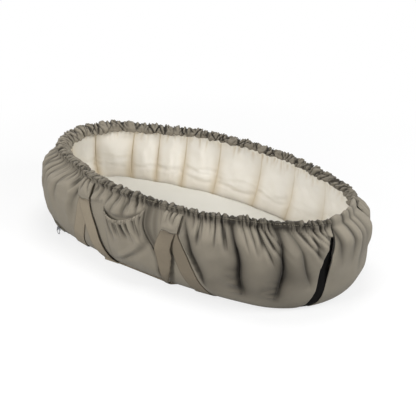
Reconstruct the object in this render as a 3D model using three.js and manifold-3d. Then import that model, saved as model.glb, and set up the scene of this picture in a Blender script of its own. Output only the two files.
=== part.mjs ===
// Infant lounger: a padded oval nest with a gathered cover, a flat mattress and webbing handles.
// Millimetres, +Z up, +X towards the foot end, origin at the bottom centre.
import * as THREE from 'three';
import { mergeVertices } from 'three/addons/utils/BufferGeometryUtils.js';
import Module from 'manifold-3d';

const wasm = await Module();
wasm.setup();

// Overall size
const nestLength = 876;
const nestWidth = 466;
const nestHeight = 205;

// Wall outside, given at the floor, at its widest level and under the rim casing
const bulgeHeight = 110;
const bulgeEndStep = 28;
const floorEndInset = 46;
const floorSideInset = 47;
const rimEndInset = 28;
const rimSideInset = 22;
const rimRadiusInset = 65;
const casingHeight = 21.7;
const shoulderShare = 0.9;

// Layers of the wall
const clearance = 0.3;
const coverThickness = 3;
const foldHeight = 11;
const gatherHeight = 6;
const foldStartHeight = 34;
const nearCoverColumns = 42;
const farCoverColumns = 34;
const headCoverColumns = 26;
const linerGap = 0.8;
const linerTopThickness = 6.7;
const seamDepth = 14;
const seamPower = 3;
const seamFadePower = 0.6;
const channelShares = [0, 0.14, 0.5, 0.86, 1];
const wrapFlapGap = 1.8;

// Base
const baseThickness = 5;
const baseInset = 2;
const padThickness = 7;
const baseSides = 96;
const padSides = 64;

// Mattress
const mattressLengthInset = 120;
const mattressWidthInset = 164;
const mattressEndStep = 51;
const mattressTop = 60;
const mattressGap = 3.2;
const sheetThickness = 2;
const mattressEdgeRadius = 7;
const mattressSlope = 34;
const mattressCrown = 1;
const mattressSides = 36;

// Rim casing and its elastic
const casingThickness = 2;
const elasticDiameter = 6;
const elasticClearance = 0.5;
const ruffleHeight = 3;
const ruffleDip = 5;
const casingShoulder = 7;
const casingInset = 3;
const casingEndTurn = 0.4;
const casingColumns = 69;
const elasticEndColumns = 7;
const elasticSides = 4;

// Foot-end wrap panel
const wrapFlapDrop = 55;
const wrapRimThickness = 3;
const wrapFlapThickness = 1.6;
const liningThickness = 1.5;
const wrapColumns = 14;
const wrapGatherShare = 0.75;

// Webbing
const webbingWidth = 38;
const webbingThickness = 2;
const anchorDrop = 59;
const anchorLap = 30;
const anchorGap = 3.5;
const headAnchorX = -174;
const footAnchorX = 88;
const headLoadFloorX = -207;
const footLoadFloorX = 170;
const headHandleFloorX = -100;
const footHandleFloorX = 84;
const handleRunInset = 52;
const floorGap = 0.2;
const tabWidth = 40;
const tabThickness = 1.6;
const flatMargin = 33;
const flatRamp = 12;
const ribbonGap = 0.7;
const grooveMargin = 1.5;
const overrun = 4;
const slopeStep = 0.9;
const ribbonShares = [-0.5, 0, 0.5];

// Pocket
const pocketThickness = 2.2;
const pocketDepth = 12;
const pocketFoot = 15.5;
const pocketHeadX = -98;
const pocketFootX = 14;
const pocketHeadFloorX = -76;
const pocketFootFloorX = 59;
const pocketCornerDrop = 39;
const pocketDip = 22;
const pocketGather = 1.4;
const bindingThickness = 1.2;
const bindingHeight = 8;
const pocketElasticDiameter = 2.4;
const pocketColumns = 16;
const pocketMiddleShare = 0.5;
const mouthCurvePower = 0.8;
const pocketFlareShare = 0.35;
const standOffAlongPower = 0.7;
const standOffClimbPower = 1.3;

// Zip round the head end
const zipHeight = 17;
const zipTapeHeight = 22;
const zipTapeThickness = 1;
const zipCoilWidth = 5;
const zipCoilThickness = 2.2;
const zipEndMargin = 0.5;
const zipColumns = 44;
const zipRowShares = [-0.5, -0.12, 0.5];
const sliderAngle = 250;
const sliderLength = 12;
const sliderWall = 1.2;
const sliderClearance = 0.5;
const bridgeHeight = 4.4;
const bridgeBar = 1.6;
const bridgeWidth = 3;
const ringDiameter = 16;
const ringWire = 1.8;
const ringSides = 8;
const ringSteps = 28;
const sliderSteps = 4;

const degree = Math.PI / 180;
const fullTurn = 360;

// Seams between the stuffed channels, as directions seen from the nest's middle
const seamAngles = [8, 27, 46, 64.5, 81, 99.5, 114.5, 127, 139.5, 161.5, 183,
  205, 220.5, 233, 245.5, 260.5, 279, 295.5, 314, 333, 352];

// Directions of the slit beside the wrap panel, from the lowest wall row to the highest
const coverEdgeAngles = [327.2, 328.7, 331.2, 332.9, 335.7, 340, 343.2];
const wrapEdgeAngles = [331.4, 334, 335.9, 337.3, 338.7, 341.5, 343.9];
const headSeamAngle = 243;

// Deep pleats of the long sides: direction at the rim, direction at the base, depth and width
const pleats = [
  { rimAngle: 286, baseAngle: 296, depthShare: 0.7, halfWidth: 2.6 },
  { rimAngle: 302, baseAngle: 306, depthShare: 1, halfWidth: 2.4 },
  { rimAngle: 318, baseAngle: 315, depthShare: 1, halfWidth: 2.4 },
  { rimAngle: 323.5, baseAngle: 331, depthShare: 0.9, halfWidth: 2.4 },
];

const lerp = THREE.MathUtils.lerp;
const smooth = THREE.MathUtils.smoothstep;
const rimLevel = nestHeight - casingHeight - clearance;
const baseTop = baseThickness + clearance;
const padTop = baseTop + padThickness;
const anchorHeight = nestHeight - anchorDrop;
const wrapFlapHeight = nestHeight - wrapFlapDrop;
const pocketCornerHeight = nestHeight - pocketCornerDrop;
const handleRunY = nestWidth / 2 - handleRunInset;

// Ovals: half length a, half width b, end radius r; four arcs that meet tangentially
const bulgeOval = { a: nestLength / 2, b: nestWidth / 2, r: nestWidth / 2 - bulgeEndStep };
const floorOval = {
  a: bulgeOval.a - floorEndInset, b: bulgeOval.b - floorSideInset, r: bulgeOval.r - floorEndInset,
};
const rimOval = {
  a: bulgeOval.a - rimEndInset, b: bulgeOval.b - rimSideInset, r: bulgeOval.r - rimRadiusInset,
};
const mattressOval = {
  a: (nestLength - mattressLengthInset) / 2,
  b: (nestWidth - mattressWidthInset) / 2,
  r: (nestWidth - mattressWidthInset) / 2 - mattressEndStep,
};

function inset(oval, distance) {
  return { a: oval.a - distance, b: oval.b - distance, r: oval.r - distance };
}

function mixOval(from, to, share) {
  return {
    a: lerp(from.a, to.a, share), b: lerp(from.b, to.b, share), r: lerp(from.r, to.r, share),
  };
}

function arcs(oval) {
  const endCentre = oval.a - oval.r;
  const rise = oval.b - oval.r;
  const sideCentre = (endCentre ** 2 - rise ** 2) / (2 * rise);
  return { endCentre, sideCentre, sideRadius: oval.b + sideCentre };
}

// Point of an oval in the direction of an ellipse angle
function ovalPoint(oval, angle) {
  const { endCentre, sideCentre, sideRadius } = arcs(oval);
  const dx = Math.abs(oval.a * Math.cos(angle * degree));
  const dy = Math.abs(oval.b * Math.sin(angle * degree));
  const q = dx * dx + dy * dy;
  const reach = (endCentre * dx) ** 2 - q * (endCentre ** 2 - oval.r ** 2);
  let scale = reach >= 0 ? (endCentre * dx + Math.sqrt(reach)) / q : 0;
  const limit = oval.r * endCentre / Math.hypot(sideCentre, endCentre);
  if (scale * dx - endCentre < limit) {
    const cross = (sideCentre * dy) ** 2 + q * (sideRadius ** 2 - sideCentre ** 2);
    scale = (-sideCentre * dy + Math.sqrt(cross)) / q;
  }
  return [
    Math.sign(Math.cos(angle * degree)) * scale * dx,
    Math.sign(Math.sin(angle * degree)) * scale * dy,
  ];
}

// Half width of an oval at a distance x along it
function ovalHalfWidth(oval, x) {
  const { endCentre, sideCentre, sideRadius } = arcs(oval);
  const joint = endCentre + oval.r * endCentre / Math.hypot(sideCentre, endCentre);
  if (Math.abs(x) < joint) {
    return Math.sqrt(sideRadius ** 2 - x * x) - sideCentre;
  }
  return Math.sqrt(Math.max(oval.r ** 2 - (Math.abs(x) - endCentre) ** 2, 0));
}

// Outside of the wall at a height, along the crests of the folds
function crestOval(z) {
  if (z < bulgeHeight) {
    const turn = 1 - Math.max(z, 0) / bulgeHeight;
    return mixOval(floorOval, bulgeOval, Math.sqrt(1 - turn * turn));
  }
  const turn = shoulderShare * (z - bulgeHeight) / (rimLevel - bulgeHeight);
  const full = 1 - Math.sqrt(1 - shoulderShare * shoulderShare);
  return mixOval(bulgeOval, rimOval, (1 - Math.sqrt(1 - turn * turn)) / full);
}

function foldShare(z) {
  return smooth(z, foldStartHeight, bulgeHeight);
}

// Outside of the cover where it lies flat, in the valleys between the folds
function valleyOval(z) {
  return inset(crestOval(z), foldHeight * foldShare(z));
}

const rimOpening = inset(valleyOval(rimLevel), coverThickness + linerGap + linerTopThickness);

// Inside of the stuffed wall, along the crowns of its channels
function crownOval(z) {
  const low = inset(mattressOval, -mattressGap);
  return mixOval(low, rimOpening, Math.max((z - mattressTop) / (rimLevel - mattressTop), 0));
}

// Heights that every layer of the wall shares, so that the layers follow each other
const lowRowShares = [0, 0.115, 0.49, 1];
const highRowShares = [0.36, 0.7, 1];
const wallRows = [
  ...lowRowShares.map((share) => lerp(baseTop, bulgeHeight, share)),
  ...highRowShares.map((share) => lerp(bulgeHeight, rimLevel, share)),
];

function vector(x, y, z) {
  return new THREE.Vector3(x, y, z);
}

function ringPoint(oval, angle, z) {
  const [x, y] = ovalPoint(oval, angle);
  return vector(x, y, z);
}

// Angles that share a stretch of an oval into equal lengths
function evenAngles(oval, start, end, count) {
  const steps = 720;
  const lengths = [0];
  let last = ovalPoint(oval, start);
  for (let i = 1; i <= steps; i += 1) {
    const next = ovalPoint(oval, lerp(start, end, i / steps));
    lengths.push(lengths[i - 1] + Math.hypot(next[0] - last[0], next[1] - last[1]));
    last = next;
  }
  const angles = [];
  let step = 0;
  for (let i = 0; i <= count; i += 1) {
    const goal = lengths[steps] * i / count;
    while (step < steps - 1 && lengths[step + 1] < goal) step += 1;
    const part = (goal - lengths[step]) / (lengths[step + 1] - lengths[step]);
    angles.push(lerp(start, end, (step + Math.min(part, 1)) / steps));
  }
  return angles;
}

// Closed mesh from points and triangles, turned so that its faces point out
function closedGeometry(points, triangles) {
  let volume = 0;
  for (const [a, b, c] of triangles) {
    volume += points[a].dot(points[b].clone().cross(points[c]));
  }
  const order = volume < 0 ? [0, 2, 1] : [0, 1, 2];
  const geometry = new THREE.BufferGeometry();
  const positions = points.flatMap((point) => point.toArray());
  geometry.setAttribute('position', new THREE.Float32BufferAttribute(positions, 3));
  geometry.setIndex(triangles.flatMap((corner) => order.map((i) => corner[i])));
  geometry.computeVertexNormals();
  return geometry;
}

// A thick sheet between two grids of points; a grid is a list of columns of equal length
function sheet(front, back, ring = false) {
  const columns = front.length;
  const rows = front[0].length;
  const points = [...front.flat(), ...back.flat()];
  const triangles = [];
  const at = (side, column, row) => (side * columns + (column % columns)) * rows + row;
  const quad = (a, b, c, d) => triangles.push([a, b, c], [a, c, d]);
  const spans = ring ? columns : columns - 1;
  for (let i = 0; i < spans; i += 1) {
    for (let j = 0; j < rows - 1; j += 1) {
      quad(at(0, i, j), at(0, i + 1, j), at(0, i + 1, j + 1), at(0, i, j + 1));
      quad(at(1, i, j), at(1, i, j + 1), at(1, i + 1, j + 1), at(1, i + 1, j));
    }
    quad(at(0, i, 0), at(1, i, 0), at(1, i + 1, 0), at(0, i + 1, 0));
    const top = rows - 1;
    quad(at(0, i, top), at(0, i + 1, top), at(1, i + 1, top), at(1, i, top));
  }
  if (!ring) {
    for (let j = 0; j < rows - 1; j += 1) {
      quad(at(0, 0, j), at(0, 0, j + 1), at(1, 0, j + 1), at(1, 0, j));
      const end = columns - 1;
      quad(at(0, end, j), at(1, end, j), at(1, end, j + 1), at(0, end, j + 1));
    }
  }
  return closedGeometry(points, triangles);
}

// A solid made of closed loops, each end closed to its middle
function stack(loops) {
  const size = loops[0].length;
  const points = loops.flat();
  const triangles = [];
  for (let i = 0; i < loops.length - 1; i += 1) {
    for (let j = 0; j < size; j += 1) {
      const k = (j + 1) % size;
      triangles.push([i * size + j, i * size + k, (i + 1) * size + k]);
      triangles.push([i * size + j, (i + 1) * size + k, (i + 1) * size + j]);
    }
  }
  for (const end of [0, loops.length - 1]) {
    const middle = vector(0, 0, 0);
    loops[end].forEach((point) => middle.addScaledVector(point, 1 / size));
    points.push(middle);
    for (let j = 0; j < size; j += 1) {
      const edge = [end * size + (j + 1) % size, end * size + j];
      triangles.push([points.length - 1, ...(end === 0 ? edge : edge.reverse())]);
    }
  }
  return closedGeometry(points, triangles);
}

function solid(geometry) {
  const bare = geometry.clone();
  bare.deleteAttribute('normal');
  bare.deleteAttribute('uv');
  const merged = mergeVertices(bare);
  const vertProperties = Float32Array.from(merged.attributes.position.array);
  const triVerts = Uint32Array.from(merged.index.array);
  return new wasm.Manifold(new wasm.Mesh({ numProp: 3, vertProperties, triVerts }));
}

function fromSolid(body) {
  const mesh = body.getMesh();
  const geometry = new THREE.BufferGeometry();
  geometry.setAttribute('position', new THREE.Float32BufferAttribute(mesh.vertProperties, 3));
  geometry.setIndex(Array.from(mesh.triVerts));
  geometry.computeVertexNormals();
  return geometry;
}

const cloth = new THREE.MeshStandardMaterial({ color: 0x8f8979, roughness: 0.95, metalness: 0 });
const webbing = new THREE.MeshStandardMaterial({ color: 0x9c907d, roughness: 0.9, metalness: 0 });
const lining = new THREE.MeshStandardMaterial({ color: 0x0b0b0b, roughness: 0.95, metalness: 0 });
const cream = new THREE.MeshStandardMaterial({ color: 0xe9e3d6, roughness: 0.95, metalness: 0 });
const fitted = new THREE.MeshStandardMaterial({ color: 0xd9d6cb, roughness: 0.95, metalness: 0 });
const foam = new THREE.MeshStandardMaterial({ color: 0xf0eee6, roughness: 1, metalness: 0 });
const rubber = new THREE.MeshStandardMaterial({ color: 0xe6e4dd, roughness: 0.8, metalness: 0 });
const zipTape = new THREE.MeshStandardMaterial({ color: 0x6f6a5c, roughness: 0.9, metalness: 0 });
const zipNylon = new THREE.MeshStandardMaterial({ color: 0x5f5b50, roughness: 0.6, metalness: 0 });
const steel = new THREE.MeshStandardMaterial({ color: 0xa9aaac, roughness: 0.35, metalness: 1 });

const lounger = new THREE.Group();

function addPiece(name, geometry, material) {
  const mesh = new THREE.Mesh(geometry, material);
  mesh.name = name;
  lounger.add(mesh);
}

function twoDigits(number) {
  return String(number).padStart(2, '0');
}

// How far the webbing and the pocket keep the cover flat at a place: 0 flat, 1 free
function loadStrapX(anchorX, floorX, z) {
  return lerp(floorX, anchorX, Math.min(z / anchorHeight, 1));
}

function freeShare(x, z, side) {
  const headX = loadStrapX(headAnchorX, headLoadFloorX, z);
  const footX = loadStrapX(footAnchorX, footLoadFloorX, z);
  const margin = webbingWidth / 2 + flatMargin;
  if (side < 0) {
    return Math.max(
      smooth(headX - margin - x, 0, flatRamp),
      smooth(x - footX - margin, 0, flatRamp),
    );
  }
  const headLean = Math.max(headAnchorX, headHandleFloorX);
  const footLean = Math.min(footAnchorX, footHandleFloorX);
  const between = Math.min(
    smooth(x - headLean - margin, 0, flatRamp),
    smooth(footLean - margin - x, 0, flatRamp),
  );
  const outside = Math.max(
    smooth(headX - margin - x, 0, flatRamp),
    smooth(x - footX - margin, 0, flatRamp),
  );
  return Math.max(between, outside);
}

// Height of the cover over its valleys, as a share of the fold height
function pleatShare(angle, z) {
  const mirrored = angle < fullTurn / 2 ? fullTurn - angle : angle;
  const climb = z / rimLevel;
  let share = 1;
  for (const pleat of pleats) {
    const centre = lerp(pleat.baseAngle, pleat.rimAngle, climb);
    const offset = (mirrored - centre) / pleat.halfWidth;
    share -= pleat.depthShare * Math.exp(-offset * offset);
  }
  return Math.max(share, 0);
}

// Two skins of the outer cover between two edges that may slant
function coverSheet(startAngles, endAngles, count) {
  const rowCount = wallRows.length;
  const even = evenAngles(bulgeOval, startAngles[rowCount - 1], endAngles[rowCount - 1], count);
  const span = even[count] - even[0];
  const front = [];
  const back = [];
  even.forEach((evenAngle, column) => {
    const along = (evenAngle - even[0]) / span;
    const outer = [];
    const inner = [];
    wallRows.forEach((z, row) => {
      const angle = lerp(startAngles[row], endAngles[row], along);
      const [x, y] = ovalPoint(valleyOval(z), angle);
      const free = freeShare(x, z, Math.sign(y));
      const fold = foldHeight * foldShare(z) * pleatShare(angle, z);
      const nearRim = smooth(z, bulgeHeight, rimLevel);
      const gather = column % 2 === 0 ? 0 : gatherHeight * nearRim;
      const rise = free * Math.max(fold - gather, 0);
      outer.push(ringPoint(inset(valleyOval(z), -rise), angle, z));
      inner.push(ringPoint(inset(valleyOval(z), coverThickness - rise), angle, z));
    });
    front.push(outer);
    back.push(inner);
  });
  return sheet(front, back);
}

function mirrorAngles(angles) {
  return angles.map((angle) => fullTurn - angle);
}

function addCover() {
  const headStart = wallRows.map(() => headSeamAngle);
  const seamTurn = clearance / bulgeOval.b / degree;
  const nearStart = headStart.map((angle) => angle + seamTurn);
  addPiece('cover_near_side', coverSheet(nearStart, coverEdgeAngles, nearCoverColumns), cloth);
  const farStart = mirrorAngles(coverEdgeAngles);
  const farEnd = mirrorAngles(nearStart);
  addPiece('cover_far_side', coverSheet(farStart, farEnd, farCoverColumns), cloth);
  const headEnd = mirrorAngles(headStart);
  addPiece('cover_head_end', coverSheet(headEnd, headStart, headCoverColumns), cloth);
}

// Stuffed channels of the liner, crowned inward and pinched at their seams
function addLinerChannels() {
  const outside = coverThickness + linerGap;
  seamAngles.forEach((seam, index) => {
    const next = seamAngles[(index + 1) % seamAngles.length];
    const end = next < seam ? next + fullTurn : next;
    const front = [];
    const back = [];
    for (const share of channelShares) {
      const pinch = Math.abs(2 * share - 1) ** seamPower;
      const inner = [];
      const outer = [];
      wallRows.forEach((z) => {
        const climb = Math.max((z - mattressTop) / (rimLevel - mattressTop), 0);
        const depth = seamDepth * pinch * Math.sin(Math.PI * climb) ** seamFadePower;
        const middle = crownOval(z);
        const gapTurn = clearance / 2 / Math.min(middle.b, middle.r) / degree;
        const angle = lerp(seam + gapTurn, end - gapTurn, share);
        inner.push(ringPoint(inset(middle, -depth), angle, z));
        outer.push(ringPoint(inset(valleyOval(z), outside), angle, z));
      });
      front.push(inner);
      back.push(outer);
    }
    addPiece(`liner_channel_${twoDigits(index + 1)}`, sheet(front, back), cream);
  });
}

// Gathered casing of the rim, an upside-down channel whose ruffles stand away from the elastic
const casingOval = inset(valleyOval(rimLevel), casingInset);
const casingBase = rimLevel + clearance;
const casingHalf = elasticDiameter / 2 + elasticClearance;

function addRim() {
  const topRow = wallRows.length - 1;
  const start = fullTurn - wrapEdgeAngles[topRow] + casingEndTurn;
  const angles = evenAngles(casingOval, start, fullTurn - start, casingColumns);
  const shoulderZ = nestHeight - casingShoulder;
  const front = [];
  const back = [];
  angles.forEach((angle, column) => {
    const crest = column % 2;
    const ruffle = crest * ruffleHeight;
    const top = nestHeight - (1 - crest) * ruffleDip;
    const outerSkin = [
      [casingHalf + casingThickness + ruffle, casingBase],
      [casingHalf + casingThickness + ruffle, shoulderZ],
      [0, top],
      [-casingHalf - casingThickness - ruffle, shoulderZ],
      [-casingHalf - casingThickness - ruffle / 2, casingBase],
    ];
    const innerSkin = [
      [casingHalf, casingBase],
      [casingHalf, shoulderZ - casingThickness / 2],
      [0, top - casingThickness],
      [-casingHalf, shoulderZ - casingThickness / 2],
      [-casingHalf, casingBase],
    ];
    front.push(outerSkin.map(([out, z]) => ringPoint(inset(casingOval, -out), angle, z)));
    back.push(innerSkin.map(([out, z]) => ringPoint(inset(casingOval, -out), angle, z)));
  });
  addPiece('rim_casing', sheet(front, back), cloth);

  const elasticZ = casingBase + elasticDiameter / 2;
  const underWrap = evenAngles(casingOval, -start, start, elasticEndColumns).slice(1, -1);
  const rings = [...angles, ...underWrap.map((angle) => angle + fullTurn)];
  const outerHalf = [];
  const innerHalf = [];
  for (const angle of rings) {
    const around = [];
    for (let i = 0; i < elasticSides; i += 1) {
      const turn = i / elasticSides * fullTurn * degree;
      const out = elasticDiameter / 2 * Math.cos(turn);
      const up = elasticDiameter / 2 * Math.sin(turn);
      around.push(ringPoint(inset(casingOval, -out), angle, elasticZ + up));
    }
    outerHalf.push([around[3], around[0], around[1]]);
    innerHalf.push([around[3], around[2], around[1]]);
  }
  addPiece('rim_elastic', hoop(outerHalf, innerHalf), rubber);
}

// A ring whose two skins share their first and last rows
function hoop(front, back) {
  const columns = front.length;
  const rows = front[0].length;
  const points = [...front.flat(), ...back.map((column) => column.slice(1, -1)).flat()];
  const triangles = [];
  const frontAt = (i, j) => (i % columns) * rows + j;
  const backAt = (i, j) => {
    const shared = j === 0 || j === rows - 1;
    return shared ? frontAt(i, j) : columns * rows + (i % columns) * (rows - 2) + j - 1;
  };
  for (let i = 0; i < columns; i += 1) {
    for (let j = 0; j < rows - 1; j += 1) {
      triangles.push([frontAt(i, j), frontAt(i + 1, j), frontAt(i + 1, j + 1)]);
      triangles.push([frontAt(i, j), frontAt(i + 1, j + 1), frontAt(i, j + 1)]);
      triangles.push([backAt(i, j), backAt(i + 1, j + 1), backAt(i + 1, j)]);
      triangles.push([backAt(i, j), backAt(i, j + 1), backAt(i + 1, j + 1)]);
    }
  }
  return closedGeometry(points, triangles);
}

// Smooth panel of the foot end: up the wall, over the rim and down inside
function addFootWrap() {
  const topRow = wallRows.length - 1;
  const front = [];
  const back = [];
  const shoulderZ = nestHeight - casingShoulder;
  const rimOut = casingHalf + casingThickness + ruffleHeight / 2;
  for (let i = 0; i <= wrapColumns; i += 1) {
    const along = i / wrapColumns;
    const angleAt = (row) => (fullTurn - wrapEdgeAngles[row]) * (2 * along - 1);
    const outer = [];
    const inner = [];
    wallRows.forEach((z, row) => {
      const soft = i % 2 === 0 ? 1 : wrapGatherShare;
      const rise = foldHeight * foldShare(z) * soft;
      const angle = angleAt(row);
      outer.push(ringPoint(inset(valleyOval(z), -rise), angle, z));
      inner.push(ringPoint(inset(valleyOval(z), coverThickness - rise), angle, z));
    });
    const angle = angleAt(topRow);
    const over = [
      [rimOut, shoulderZ, rimOut - wrapRimThickness, shoulderZ - wrapRimThickness / 2],
      [rimOut / 2, nestHeight, rimOut / 2, nestHeight - wrapRimThickness],
      [-rimOut / 2, nestHeight, -rimOut / 2, nestHeight - wrapRimThickness],
      [-rimOut, shoulderZ, wrapRimThickness - rimOut, shoulderZ - wrapRimThickness / 2],
    ];
    for (const [out, z, backOut, backZ] of over) {
      outer.push(ringPoint(inset(casingOval, -out), angle, z));
      inner.push(ringPoint(inset(casingOval, -backOut), angle, backZ));
    }
    for (const z of [rimLevel, wrapFlapHeight]) {
      outer.push(ringPoint(inset(crownOval(z), wrapFlapGap + wrapFlapThickness), angle, z));
      inner.push(ringPoint(inset(crownOval(z), wrapFlapGap), angle, z));
    }
    front.push(outer);
    back.push(inner);
  }
  addPiece('foot_wrap_panel', sheet(front, back), cloth);
}

// Black lining behind the slits on both sides of the wrap panel
function addFootLining() {
  const gapTurn = 2 * clearance / bulgeOval.b / degree;
  for (const [name, far] of [['foot_lining_near', false], ['foot_lining_far', true]]) {
    const front = [];
    const back = [];
    for (const along of [0, 0.5, 1]) {
      const outer = [];
      const inner = [];
      wallRows.forEach((z, row) => {
        const start = coverEdgeAngles[row] + gapTurn;
        const near = lerp(start, wrapEdgeAngles[row] - gapTurn, along);
        const angle = far ? fullTurn - near : near;
        const depth = coverThickness - clearance;
        outer.push(ringPoint(inset(valleyOval(z), depth - liningThickness), angle, z));
        inner.push(ringPoint(inset(valleyOval(z), depth), angle, z));
      });
      front.push(outer);
      back.push(inner);
    }
    addPiece(name, sheet(front, back), lining);
  }
}

// Ribbons lie on the side wall; layers count from the cover outwards
const layerStep = webbingThickness + clearance;

function wallSlope(x, z) {
  const above = ovalHalfWidth(valleyOval(z + slopeStep), x);
  const below = ovalHalfWidth(valleyOval(z - slopeStep), x);
  return (above - below) / (2 * slopeStep);
}

// Place on the side wall at x and z, moved out along the wall's own normal
function wallPlace(side, x, z, out) {
  const slope = wallSlope(x, z);
  const size = Math.hypot(1, slope);
  const y = ovalHalfWidth(valleyOval(z), x) + out / size;
  return vector(x, side * y, z - out * slope / size);
}

function ribbonAcross(width, place) {
  return ribbonShares.map((share) => place(share * width));
}

// Rows of a wall ribbon between two heights, the wall's own rows among them
function ribbonHeights(low, high) {
  const inside = wallRows.filter((z) => z > low + overrun && z < high - overrun);
  return [low, ...inside, high];
}

function transpose(rows) {
  return rows[0].map((_, column) => rows.map((row) => row[column]));
}

function wallRibbonRows(side, heights, centreAt, width, layer, thickness) {
  const near = ribbonGap + layer * layerStep;
  const rows = { outer: [], inner: [] };
  for (const z of heights) {
    const across = (out) => ribbonAcross(width, (dx) => wallPlace(side, centreAt(z) + dx, z, out));
    rows.outer.push(across(near + thickness));
    rows.inner.push(across(near));
  }
  return rows;
}

const webbingTop = floorGap + webbingThickness;

function floorRow(side, x, y, width) {
  return {
    outer: ribbonAcross(width, (dx) => vector(x + dx, side * y, floorGap)),
    inner: ribbonAcross(width, (dx) => vector(x + dx, side * y, webbingTop)),
  };
}

// Load strap: down the near wall, under the base and up the far wall
function addLoadStrap(name, anchorX, floorX) {
  const centreAt = (z) => loadStrapX(anchorX, floorX, z);
  const heights = ribbonHeights(wallRows[0], anchorHeight + anchorLap);
  const near = wallRibbonRows(-1, heights, centreAt, webbingWidth, 0, webbingThickness);
  const far = wallRibbonRows(1, heights, centreAt, webbingWidth, 0, webbingThickness);
  const innerEdge = Math.abs(floorX) - webbingWidth / 2;
  const cornerY = ovalHalfWidth(inset(floorOval, baseInset), innerEdge) + webbingThickness;
  const outer = [...near.outer.reverse()];
  const inner = [...near.inner.reverse()];
  for (const side of [-1, 1]) {
    const places = side < 0 ? [cornerY, cornerY / 2] : [cornerY / 2, cornerY];
    for (const y of places) {
      const row = floorRow(side, floorX, y, webbingWidth);
      outer.push(row.outer);
      inner.push(row.inner);
    }
  }
  outer.push(...far.outer);
  inner.push(...far.inner);
  addPiece(name, sheet(transpose(outer), transpose(inner)), webbing);
}

// Carry handle: from anchor to anchor, its middle run folded flat under the edge of the base
function addHandle(name, side) {
  const top = anchorHeight - anchorGap;
  const heights = ribbonHeights(wallRows[0], top);
  const leg = (anchorX, floorX) => wallRibbonRows(
    side, heights, (z) => lerp(floorX, anchorX, z / anchorHeight), webbingWidth, 1, webbingThickness,
  );
  const head = leg(headAnchorX, headHandleFloorX);
  const foot = leg(footAnchorX, footHandleFloorX);
  const half = webbingWidth / 2;
  const cornerY = handleRunY + half + webbingThickness;
  const miter = (x, lean) => [-1, 0, 1].map((across) => ({
    x: x + across * half, y: handleRunY + across * lean * half,
  }));
  const flat = (places, z) => places.map((place) => vector(place.x, side * place.y, z));
  const outer = [...head.outer.reverse()];
  const inner = [...head.inner.reverse()];
  const headFloor = floorRow(side, headHandleFloorX, cornerY, webbingWidth);
  const footFloor = floorRow(side, footHandleFloorX, cornerY, webbingWidth);
  const headMiter = miter(headHandleFloorX, 1);
  const footMiter = miter(footHandleFloorX, -1).reverse();
  const turned = (row) => row.toReversed();
  outer.push(headFloor.outer, flat(headMiter, floorGap), flat(footMiter, floorGap));
  inner.push(headFloor.inner, flat(headMiter, webbingTop), flat(footMiter, webbingTop));
  outer.push(...[footFloor.outer, ...foot.outer].map(turned));
  inner.push(...[footFloor.inner, ...foot.inner].map(turned));
  addPiece(name, sheet(transpose(outer), transpose(inner)), webbing);
}

// Cloth tabs sewn over the webbing ends
function addTab(name, side, anchorX) {
  const centreAt = () => anchorX;
  const heights = ribbonHeights(anchorHeight, anchorHeight + anchorLap + clearance);
  const rows = wallRibbonRows(side, heights, centreAt, tabWidth, 2, tabThickness);
  const seat = wallRibbonRows(side, [rimLevel - tabThickness], centreAt, tabWidth, 0, tabThickness);
  rows.outer.push(...seat.outer);
  rows.inner.push(...seat.inner);
  addPiece(name, sheet(transpose(rows.outer), transpose(rows.inner)), cloth);
}

function addWebbing() {
  addLoadStrap('load_strap_head', headAnchorX, headLoadFloorX);
  addLoadStrap('load_strap_foot', footAnchorX, footLoadFloorX);
  for (const [word, side] of [['near', -1], ['far', 1]]) {
    addHandle(`${word}_handle`, side);
    addTab(`${word}_head_tab`, side, headAnchorX);
    addTab(`${word}_foot_tab`, side, footAnchorX);
  }
}

// Pocket: a panel that stands off the near wall towards its gathered mouth
function mouthHeight(along) {
  return pocketCornerHeight - pocketDip * Math.sin(Math.PI * along) ** mouthCurvePower;
}

function pocketX(along, z) {
  const climb = Math.min((z - pocketFoot) / (pocketCornerHeight - pocketFoot), 1);
  const headX = lerp(pocketHeadFloorX, pocketHeadX, climb);
  const footShare = smooth(climb, pocketFlareShare, 1);
  const footX = lerp(pocketFootFloorX, pocketFootX, footShare);
  return lerp(headX, footX, along);
}

function pocketStandOff(along, z) {
  const climb = Math.max((z - pocketFoot) / (mouthHeight(along) - pocketFoot), 0);
  const acrossShare = Math.sin(Math.PI * along) ** standOffAlongPower;
  return pocketDepth * acrossShare * Math.min(climb, 1) ** standOffClimbPower;
}

function pocketPlace(along, z, out) {
  return wallPlace(-1, pocketX(along, z), z, ribbonGap + pocketStandOff(along, z) + out);
}

function pocketWave(column, share) {
  return column % 2 === 0 ? 0 : pocketGather * share;
}

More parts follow.
